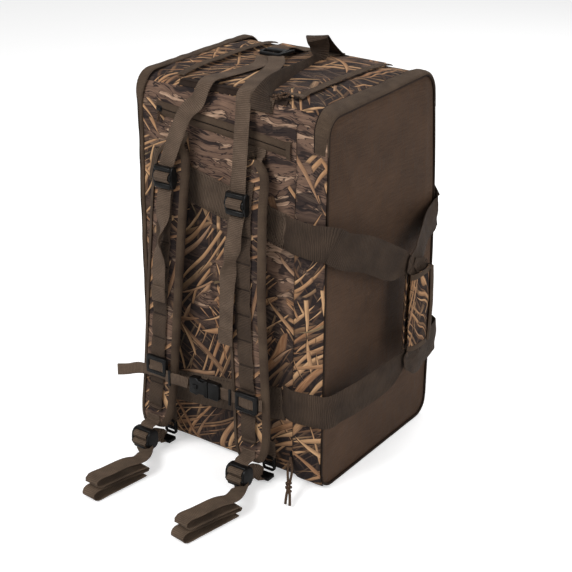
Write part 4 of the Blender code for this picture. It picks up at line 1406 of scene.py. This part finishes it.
def build_lifter_tail(side, x, y, z, tail_z):
    """The free end leaves the lock in front, turns over once and hangs beside the pad's web."""
    turn_z, lean, facing = TAIL_TURNS[side]
    end = vec(x + lean, y - 0.0072, tail_z)
    rows = [((x, y + 0.0045, z - 0.003), (0, -1, 0.2)), ((x, y + 0.0034, z - 0.013), (0, -1, -0.1)),
            ((x, y - 0.003, z - 0.024), (0, -1, -0.3)), vec(x + lean * 0.05, y - 0.0066, turn_z + 0.03),
            ((x + lean * 0.2, y - 0.0084, turn_z + 0.01), (facing * 0.7, -0.8, 0), 0.92),
            ((x + lean * 0.35, y - 0.0096, turn_z - 0.004), (facing * 0.95, -0.35, 0), 0.84),
            ((x + lean * 0.55, y - 0.009, turn_z - 0.02), (facing * 0.6, -0.8, 0), 0.92),
            ((x + lean * 0.75, y - 0.0078, turn_z - 0.04), (0.1 * facing, -1, 0)),
            ((x + lean * 0.95, y - 0.007, between(turn_z, tail_z, 0.7)), (-0.05, -1, 0)), end]
    webbing(f"lifter_tail_{side}", rows, STRAP_SEEN, "harness", WEBBING, thickness=0.0018)
    hem = [end + vec(0, -0.0016, 0.022), end + vec(0, -0.0017, 0.01), end + vec(0, -0.0014, -0.0006)]
    webbing(f"lifter_tail_hem_{side}", hem, STRAP_SEEN, "harness", WEBBING, thickness=0.0016)


def build_lifter_buckle():
    low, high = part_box("lifter_buckle")
    middle = settled((low + high) / 2) - Z * 0.006
    width, length = high.x - low.x, high.y - low.y
    holes = [rounded_rectangle((-width / 2 + 0.004, y), (width / 2 - 0.004, y + 0.009), 0.002, 3)[::-1]
             for y in (-0.0165, 0.0065)]
    plate = moulded_plate("lifter_buckle_frame", centred_rectangle(width, length, 0.005, 5), holes, 0.0046,
                          Matrix.Translation(middle + Z * 0.001), "bag",
                          bend=lambda x, y: 0.002 * math.cos(math.pi * y / length * 1.4))
    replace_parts(plate, "lifter_buckle")
    rear = [(middle + vec(0, 0.0035, 0.004), Z), (middle + vec(0, 0.014, 0.0058), Z),
            (middle + vec(0.001, 0.029, 0.002), (0, 0.4, 1))]
    rear += [(settled(vec(middle.x + dx, y, pocket_z(middle.x, y) + lift)), Z)
             for dx, y, lift in ((0.002, 0.092, 0.0022), (0.003, 0.118, 0.002))]
    webbing("lifter_anchor_web", rear, 0.03, "bag", WEBBING)


# ---- bottom hardware ---------------------------------------------------------------------------------
def build_lower_hardware():
    bars = ((0.001, 0.013, 0.006, 0.0024), (-0.005, -0.0112, 0.0056, 0.004))
    barrels = ((-0.007, 0.0068, 0.0052), (-0.0092, -0.0042, 0.005))
    for side, shift in (("right", (-0.002, -0.006, 0.001)), ("left", (0.007, -0.006, 0.002))):
        centre = ladder_lock(f"lower_lock_{side}", f"lower_ladder_lock_{side}", f"lower_lock_{side}", 0.024,
                             bars, barrels, TAIL, shift)
        build_lower_web(side, centre)
        build_hook(side)


def build_lower_web(side, centre):
    """From the pad's foot into the ladder-lock, and from the lock back to its hook."""
    hook = node_middle(f"lower_hook_{side}")
    x, y, z = centre
    foot = pad_station(side, 0.046)
    down = [foot + vec(0, -0.007, 0.01), (foot + vec(0, -0.0078, 0), (0, -1, 0.2)),
            (((foot.x + x) / 2, y + 0.006, z + 0.0185), (0, -0.8, 0.6)),
            ((x, y + 0.003, z + 0.01), (0, -1, 0.1)), vec(x, y + 0.0026, z + 0.003)]
    webbing(f"pad_foot_web_{side}", down, STRAP_SEEN, "harness", WEBBING)
    back = [vec(x, y + 0.0046, 0.026), ((x, y + 0.008, 0.0215), -Y, 0.97),
            (((x + hook.x) / 2, -0.178, 0.0165), (0, -1, 0.5), 0.92),
            ((hook.x, hook.y - 0.015, 0.0062), (0, -0.4, 1), 0.8),
            ((hook.x, hook.y - 0.001, 0.0052), Z, 0.74)]
    block(f"hook_receiver_{side}", (hook.x - 0.0125, hook.y - 0.02, 0.003),
          (hook.x + 0.0125, hook.y - 0.004, 0.0088), "harness", PLASTIC, 0.0014)
    web = webbing(f"lower_adjuster_web_{side}", back, STRAP_SEEN, "harness", WEBBING)
    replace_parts(web, f"lower_web_{side}")


def build_hook(side):
    """A moulded snap hook on a short loop of webbing at the bag's foot."""
    node, body = f"lower_hook_{side}", f"hook_{side}"
    low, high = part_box(node)
    middle = (low + high) / 2
    width, height = high.x - low.x, high.z - low.z
    half, foot, top = width / 2, -height / 2, height / 2
    holes = [rounded_rectangle((-half + 0.003, foot + 0.0028), (half - 0.003, foot + 0.0078), 0.0016,
                               3)[::-1],
             rounded_rectangle((-half + 0.0038, foot + 0.0112), (half - 0.0038, top - 0.003), 0.0036)[::-1]]
    hook = moulded_plate(f"snap_hook_{side}", centred_rectangle(width, height, 0.005, 5), holes, 0.0046,
                         Matrix.Translation(middle) @ UPRIGHT, body,
                         bend=lambda x, y: 0.001 * math.cos(x * 140))
    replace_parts(hook, node)
    block(f"snap_hook_gate_{side}", (middle.x - 0.0062, low.y - 0.0012, middle.z - 0.0026),
          (middle.x + 0.0062, low.y + 0.0016, middle.z + 0.0012), body, PLASTIC, 0.0008)
    loop_low, loop_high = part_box(f"bottom_loop_{side}")
    x = (loop_low.x + loop_high.x) / 2
    stations = [front(x, loop_high.z + 0.004, 0.0016), front(x, loop_high.z - 0.008, 0.002),
                vec(x, FRONT - 0.0034, loop_low.z - 0.002),
                ((x, FRONT - 0.0074, loop_low.z - 0.0055), (0, -0.6, 0.8), 0.92)]
    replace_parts(webbing(f"hook_loop_{side}", stations, 0.022, "bag", WEBBING), f"bottom_loop_{side}")


TAIL_ENDS = {"right": ((0.07, -0.223), (0.09, -0.262), (0.073, -0.352)),
             "left": ((-0.106, -0.223), (-0.082, -0.258), (-0.094, -0.346))}


def build_tails():
    """Each adjuster tail runs down to the floor and lies there on edge, folded into long flat loops."""
    for side, (start, near, far) in TAIL_ENDS.items():
        lock = node_middle(f"lower_ladder_lock_{side}")
        near, far = vec(*near, 0), vec(*far, 0)
        run = (far - near).normalized()
        flank = vec(-run.y, run.x, 0)
        stations = [
            (lock + vec(0, -0.003, -0.006), (0, -1, 0.1)),
            (lock + vec(0.001, -0.006, -0.012), (0, -1, 0.3)),
            ((*start, 0.013), (0, -0.5, 1)),
        ]
        # each strand: height near the bag, at its middle and at the far fold, facing, how far it reaches
        strands = ((0.025, 0.03, 0.032, 1, 0.97), (0.015, 0.0175, 0.0205, -1, 0.97),
                   (0.0075, 0.011, 0.015, 1, 1.03), (0.0022, 0.0018, 0.0018, -1, 1.03))
        for number, (z_near, z_middle, z_far, facing, reach) in enumerate(strands):
            tip = near + (far - near) * reach
            rows = [(near + run * 0.003, z_near), (near.lerp(tip, 0.35), z_middle),
                    (near.lerp(tip, 0.75), (z_middle + z_far) / 2), (tip, z_far)]
            sway = flank * (0.0012 if number % 2 else -0.0012)
            if number % 2:
                rows = rows[::-1]
            stations += [(place + Z * z + sway, Z * facing) for place, z in rows]
            if number < len(strands) - 1:
                next_z = strands[number + 1][0 if number % 2 else 2]
                turn = -run if number % 2 else run
                half = abs(rows[-1][1] - next_z) / 2
                middle_z = (rows[-1][1] + next_z) / 2
                stations.append((rows[-1][0] + turn * half * 1.3 + Z * middle_z, turn * facing))
        web = webbing(f"adjuster_tail_{side}", stations, STRAP_WIDTH, f"tail_{side}", TAIL, thickness=0.0018,
                      spacing=0.004)
        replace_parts(web, f"tail_{side}")


# ---- sternum strap --------------------------------------------------------------------------------
def keeper(name, low, high, body="sternum", bevel=0.0008):
    return block(name, low, high, body, PLASTIC, bevel)


def build_sternum():
    half, reach = 0.019, 0.0145
    outline = rounded_rectangle((-half, -reach), (half, reach), 0.004, 5)
    hole = rounded_rectangle((-half + 0.006, -reach + 0.0066), (half - 0.0064, reach - 0.0066), 0.002)[::-1]
    for side, shift in (("right", (0, 0, 0)), ("left", (0.01, 0.002, 0.01))):
        centre = node_middle(f"sternum_slider_{side}") + Vector(shift)
        plate = moulded_plate(f"sternum_slider_frame_{side}", outline, [hole], 0.007,
                              Matrix.Translation(centre - Y * 0.0046) @ UPRIGHT, "sternum",
                              bend=lambda x, y: 0.0014 * (1 - (x / half) ** 2), edge=0.0018)
        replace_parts(plate, f"sternum_slider_{side}")
        show = [centre + vec(-0.015, -0.0052, 0.0006), centre - Y * 0.007,
                centre + vec(0.015, -0.0052, -0.0006)]
        webbing(f"sternum_slider_web_{side}", show, 0.0165, "sternum", WEBBING)
    build_sternum_webs()
    build_sternum_buckle()


def build_sternum_webs():
    z = node_middle("sternum_buckle_male").z
    right, left = node_middle("sternum_slider_right").x, node_middle("sternum_slider_left").x
    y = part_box("sternum_web_right")[0].y + 0.0006
    web = [vec(0.01, y + 0.0006, z), vec(0.03, y - 0.0008, z + 0.001), vec(right, y - 0.0014, z + 0.001),
           ((right + 0.019, y + 0.0004, z), (0.4, -1, 0)), ((right + 0.0225, y + 0.0034, z), X)]
    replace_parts(webbing("sternum_webbing_right", web, 0.018, "sternum", WEBBING), "sternum_web_right")
    keeper("sternum_keeper_right", (0.0285, y - 0.004, z - 0.0125), (0.0325, y - 0.0014, z + 0.0125))
    tail_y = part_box("sternum_web_left")[0].y
    web = [vec(-0.042, y + 0.0004, z), vec(-0.064, y - 0.0022, z - 0.002), vec(left + 0.018, y - 0.0012, z),
           vec(left - 0.002, y - 0.0022, z), ((left - 0.023, y - 0.004, z - 0.002), (-0.3, -1, 0.2)),
           ((left - 0.04, tail_y + 0.003, z - 0.007), (-0.3, -1, 0.5)),
           ((left - 0.058, tail_y + 0.0012, z - 0.012), (-0.1, -1, 0.3))]
    loop = [vec(-0.044, y - 0.0044, z), vec(-0.06, y - 0.0066, z + 0.002), vec(-0.078, y - 0.0056, z - 0.001),
            vec(-0.086, y - 0.0032, z)]
    web = webbing("sternum_webbing_left", web, 0.017, None, WEBBING)
    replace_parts(web, "sternum_web_left")
    for piece in (web, webbing("sternum_loop_left", loop, 0.0175, None, WEBBING)):
        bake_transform(piece)
    keeper("sternum_keeper_left", (-0.079, y - 0.008, z - 0.0125), (-0.0745, y - 0.0054, z + 0.0125))


def build_sternum_buckle():
    """A side-release buckle: a body, and a fork whose two springy arms show in its side notches."""
    low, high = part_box("sternum_buckle_female")
    middle = (low + high) / 2
    length, h = high.x - low.x, (high.z - low.z) / 2 * 1.12
    lower = [(length * a, -h * b) for a, b in ((-0.5, 0.86), (-0.1, 1.0), (0.02, 0.72), (0.26, 0.72),
                                               (0.34, 0.98), (0.5, 0.94))]
    outline = lower + [(a, -b) for a, b in reversed(lower)]
    body = moulded_plate("sternum_buckle_body", outline, [], 0.011, Matrix.Translation(middle) @ UPRIGHT,
                         "sternum_latch", bend=lambda x, y: 0.0008 * (1 - (y / h) ** 2), edge=0.0016)
    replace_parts(body, "sternum_buckle_female")
    joint, end = high.x + 0.0005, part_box("sternum_buckle_male")[1].x
    lower = [(joint, h * 0.94), (end - 0.003, h * 0.94), (end, h * 0.7)]
    outline = [(a, middle.z - b) for a, b in lower] + [(a, middle.z + b) for a, b in reversed(lower)]
    head = moulded_plate("sternum_buckle_fork", outline, [], 0.0104,
                         Matrix.Translation((0, middle.y, 0)) @ UPRIGHT, "sternum", edge=0.0016)
    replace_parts(head, "sternum_buckle_male")
    for name, sign in (("lower", -1), ("upper", 1)):
        arm = middle + Z * sign * h * 0.78
        keeper(f"sternum_prong_{name}", arm - vec(0.001, 0.0024, 0.0016),
               arm + vec(length * 0.27, 0.0024, 0.0016), bevel=0.001)
    keeper("sternum_buckle_rib", middle - vec(0.0105, 0.0078, 0.0034), middle + vec(-0.0015, -0.003, 0.0034),
           "sternum_latch", 0.0009)


# ---- zips -----------------------------------------------------------------------------------------
def coil(name, places, radius, body, material=None, pitch=0.0022):
    """A zip's nylon coil: a fine helix along places."""
    stations, run, previous = [], 0.0, None
    for row in catmull(places, 0.0015):
        place = Vector(row)
        if previous is not None:
            run += (place - previous).length
        previous = place
        stations.append((place, -Y, 1.0 + 0.22 * math.sin(2 * math.pi * run / pitch)))
    profile = oval_profile(2 * radius, 1.5 * radius, 8)
    made = sweep(name, stations, profile, body, material or PLASTIC, spacing=0.0012)


def slider(name, centre, along, outward, body, size=1.0):
    """A zip slider: a waisted body with a raised bridge for its pull."""
    along, outward = Vector(along).normalized(), Vector(outward).normalized()
    matrix = Matrix.Translation(centre) @ Matrix((along.cross(outward), along, outward)).transposed().to_4x4()
    outline = [(x * size, y * size) for x, y in (
        (-0.004, -0.0048), (-0.0026, -0.0056), (0.0026, -0.0056), (0.004, -0.0048), (0.0046, 0.003),
        (0.003, 0.0054), (0.0, 0.0044), (-0.003, 0.0054), (-0.0046, 0.003))]
    plate = moulded_plate(name, outline, [], 0.003 * size, matrix, body, edge=0.0005)
    outline = rounded_rectangle((-0.0012 * size, -0.0042 * size), (0.0012 * size, 0.004 * size),
                                0.0008 * size, 2)
    bridge = moulded_plate(name + "_bridge", outline, [], 0.003 * size,
                           matrix @ Matrix.Translation((0, 0, 0.0026 * size)), body, edge=0.0005)
    return join(name, [plate, bridge])


def knotted_cord(name, top, bottom, body, size=1.0):
    """A doubled cord pull with an overhand knot and two short frayed ends."""
    top, bottom = Vector(top), Vector(bottom)
    span = bottom - top
    way = span.normalized()
    side = (X if abs(way.x) < 0.7 else Z) * size
    facing = way.cross(side).normalized() * size
    knot = top + span * 0.62
    radius = 0.0009 * size
    pieces = []
    for strand, sign, slack in (("a", 1, 0.0016), ("b", -1, 0.0018)):
        places = [top + side * 0.0004 * sign, top + span * 0.22 - side * slack * sign,
                  top + span * 0.48 - side * 0.001 * sign, knot]
        pieces.append(cord(f"{name}_{strand}", places, radius, body))
    turns = []
    for k in range(15):
        a = 2 * math.pi * k / 7
        turns.append(knot + side * 0.0017 * math.cos(a) + facing * 0.0016 * math.sin(a)
                     + way * ((k - 7) * 0.00042 * size))
    pieces.append(cord(name + "_knot", turns, radius * 1.1, body))
    for number, sign in enumerate((-1, 1)):
        ends = [knot, knot + span * 0.16 + side * 0.0012 * sign, bottom + side * (0.0018 * sign)]
        pieces.append(cord(name + f"_end_{number}", ends, radius * 1.1, body))
    return join(name, pieces)


def build_main_zip():
    low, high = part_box("main_zip_tape_bag")
    lid_low, lid_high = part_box("main_zip_tape_lid")
    z0, z1 = low.z + 0.002, high.z - 0.002
    sides = (("bag", low.x + 0.006, high.x, high.x + 0.0006),
             ("lid", lid_low.x, lid_high.x, lid_low.x - 0.0006))
    for body, x0, x1, _ in sides:
        def place(u, v):
            z = between(z0, z1, v)
            return vec(between(x0, x1, u), low.y - 0.0012 + 0.001 * ripple((u, z, x0), 30.0), z)

        def cloth(u, v):
            return u * (x1 - x0), (z1 - z0) * v

        tape = sheet(f"zip_tape_{body}_side", 5, 90, place, cloth, body, ZIP_TAPE)
        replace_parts(tape, f"main_zip_tape_{body}")
    for body, _, _, x in sides:
        coil(f"zip_coil_{body}_side", [(x, low.y - 0.0018, z) for z in steps(2, z0, z1)], 0.0012, body)
    slide_low, slide_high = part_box("main_zip_slider")
    x, _, z = (slide_low + slide_high) / 2
    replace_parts(slider("main_slider_body", (x, slide_low.y + 0.004, z), Z, -Y, "main_slider"),
                "main_zip_slider")
    x, y, _ = node_middle("main_zip_cord")
    top_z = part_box("main_zip_cord")[1].z
    pull = knotted_cord("main_pull_cord", (x, y + 0.001, top_z), (x + 0.032, y - 0.052, 0.004), "main_cord",
                        size=2.1)
    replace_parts(pull, "main_zip_cord")


def build_harness_zip():
    """The harness pocket's zip, hidden between two folded lips."""
    low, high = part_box("harness_pocket_zip_tape")
    start, end = vec(low.x + 0.001, 0, 0.52), vec(high.x - 0.001, 0, 0.497)
    for lip, offset, up in (("upper", 0.0054, 0.35), ("lower", -0.0052, -0.2)):
        stations = []
        for t in steps(20):
            x, _, z = start.lerp(end, t)
            stations.append((front(x, z + offset, 0.0022 + 0.0006 * ripple((x, 0, offset), 30.0)),
                             (0, -1, up)))
        made = webbing(f"pocket_lip_{lip}", stations, 0.0094, "bag", BINDING, thickness=0.0016, crown=0.0007)
        if lip == "upper":
            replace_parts(made, "harness_pocket_zip_tape")
    line = [front(start.lerp(end, t).x, start.lerp(end, t).z, 0.001) for t in steps(4)]
    coil("pocket_zip_coil", line, 0.0013, "bag")
    stop = [front(end.x + 0.001, end.z + up, lift)
            for up, lift in ((0.0125, 0.0028), (0, 0.0044), (-0.012, 0.0028))]
    webbing("pocket_zip_stop", stop, 0.007, "bag", BINDING, thickness=0.0016)
    x, _, z = node_middle("harness_pocket_slider")
    made = slider("pocket_slider_body", (x, FRONT - 0.0044, z), end - start, -Y, "harness_slider", 0.9)
    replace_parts(made, "harness_pocket_slider")
    cord_low, cord_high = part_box("harness_pocket_cord")
    x, y, _ = (cord_low + cord_high) / 2
    made = knotted_cord("pocket_pull_cord", (x, y + 0.0008, cord_high.z), (x - 0.001, y - 0.001, cord_low.z),
                        "harness_cord")
    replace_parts(made, "harness_pocket_cord")


def build_end_zip():
    low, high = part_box("end_pocket_zip_tape")
    y = (low.y + high.y) / 2
    s = TOP_START + y - FRONT - CORNER

    def place(u, v):
        return wall(between(low.x, high.x, u), s + (v - 0.5) * 0.015, 0.0016 + 0.0018 * (1 - abs(2 * v - 1)))

    tape = sheet("end_zip_tape", 50, 6, place, lambda u, v: (v * 0.015, u * (high.x - low.x)), "bag",
                 ZIP_TAPE)
    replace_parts(tape, "end_pocket_zip_tape")
    coil("end_zip_coil", [wall(x, s, 0.004) for x in steps(10, low.x, high.x)], 0.0012, "bag", ZIP_TAPE)
    middle = node_middle("end_pocket_slider")
    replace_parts(slider("end_slider_body", middle + Z * 0.0016, X, Z, "end_slider"), "end_pocket_slider")
    pull_low, pull_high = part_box("end_pocket_pull")
    z, x0, x1 = (pull_low.z + pull_high.z) / 2, pull_low.x, pull_high.x
    stations = [((x0, y, z + 0.0006), Z, 0.7), ((x0 + 0.006, y, z + 0.0012), Z),
                ((x1 - 0.004, y - 0.0005, z + 0.0008), Z), ((x1 + 0.001, y - 0.0008, z), Z)]
    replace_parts(webbing("end_pull_tab", stations, 0.0085, "end_pull", WEBBING, thickness=0.0022),
                "end_pocket_pull")
    top, bottom = (x0 + 0.004, y - 0.003, z + 0.001), (x0 - 0.016, y - 0.014, z - 0.004)
    knotted_cord("end_pull_cord", top, bottom, "end_pull", size=1.6)


def dress_foam():
    """The back panel's foam stays as the CAD made it, inside the bag; it only gets its material."""
    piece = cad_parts["back_panel_foam"]
    piece.data.materials.clear()
    piece.data.materials.append(FOAM)


# ---- studio -----------------------------------------------------------------------------------------
FLOOR_GLOW = 0.42
SKY_LIGHT = 0.42
LAMPS = (  # name, place, size, power
    ("key", (-0.7, -2.4, 2.3), 1.5, 78.0), ("side", (2.6, -0.5, 1.5), 1.6, 36.0),
    ("back", (0.2, 2.2, 2.6), 1.6, 40.0))


def build_floor():
    """A pale floor that the camera sees nearly white, with only the bag's soft shadow on it."""
    bpy.ops.mesh.primitive_plane_add(size=12, location=(0, 0, -0.0003))
    floor = bpy.context.object
    floor.name = "floor"
    made, g, shader = new_material("studio_floor")
    shader.inputs["Base Color"].default_value = (0.8, 0.8, 0.8, 1)
    shader.inputs["Roughness"].default_value = 0.9
    shader.inputs["Specular IOR Level"].default_value = 0.0
    seen = g.node("ShaderNodeLightPath").outputs["Is Camera Ray"]
    shader.inputs["Emission Color"].default_value = (1, 1, 1, 1)
    g.tree.links.new(g.mul(seen, FLOOR_GLOW), shader.inputs["Emission Strength"])
    floor.data.materials.append(made)


def build_studio():
    build_floor()
    world = bpy.data.worlds.new("studio")
    bpy.context.scene.world = world
    world.use_nodes = True
    g = Graph(world.node_tree)
    background = world.node_tree.nodes["Background"]
    background.inputs[0].default_value = (1, 1, 1, 1)
    seen = g.node("ShaderNodeLightPath").outputs["Is Camera Ray"]
    strength = g.add(SKY_LIGHT, g.mul(seen, 1.0 - SKY_LIGHT))
    g.tree.links.new(strength, background.inputs[1])
    for name, place, size, power in LAMPS:
        data = bpy.data.lights.new(name, "AREA")
        data.energy, data.size = power, size
        lamp = bpy.data.objects.new(name, data)
        bpy.context.scene.collection.objects.link(lamp)
        lamp.location = place
        lamp.rotation_euler = (vec(0, 0, 0.28) - Vector(place)).to_track_quat("-Z", "Y").to_euler()
    bpy.context.scene.view_settings.view_transform = "Standard"


CAMERA = vec(0.974, -1.417, 0.956)
LOOK = vec(-0.5247, 0.7569, -0.389)
LENS = 77.5
ROLL = 0.6


def build_camera():
    data = bpy.data.cameras.new("camera")
    data.lens, data.sensor_width = LENS, 36
    camera = bpy.data.objects.new("camera", data)
    bpy.context.scene.collection.objects.link(camera)
    turned = LOOK.to_track_quat("-Z", "Y").to_matrix().to_4x4() @ Matrix.Rotation(math.radians(ROLL), 4, "Z")
    camera.matrix_world = Matrix.Translation(CAMERA) @ turned
    bpy.context.scene.camera = camera


for build in (build_shell, build_base, build_lid, build_flap, build_hinge, build_edge_binding,
              build_top_bands,
              build_end_pocket, build_haul_bands, build_haul_handles, build_carry_handle, build_pads,
              build_upper_locks, build_lifter_webs, build_lifter_buckle, build_lower_hardware, build_tails,
              build_sternum, build_main_zip, build_harness_zip, build_end_zip, dress_foam, build_studio,
              build_camera):
    build()
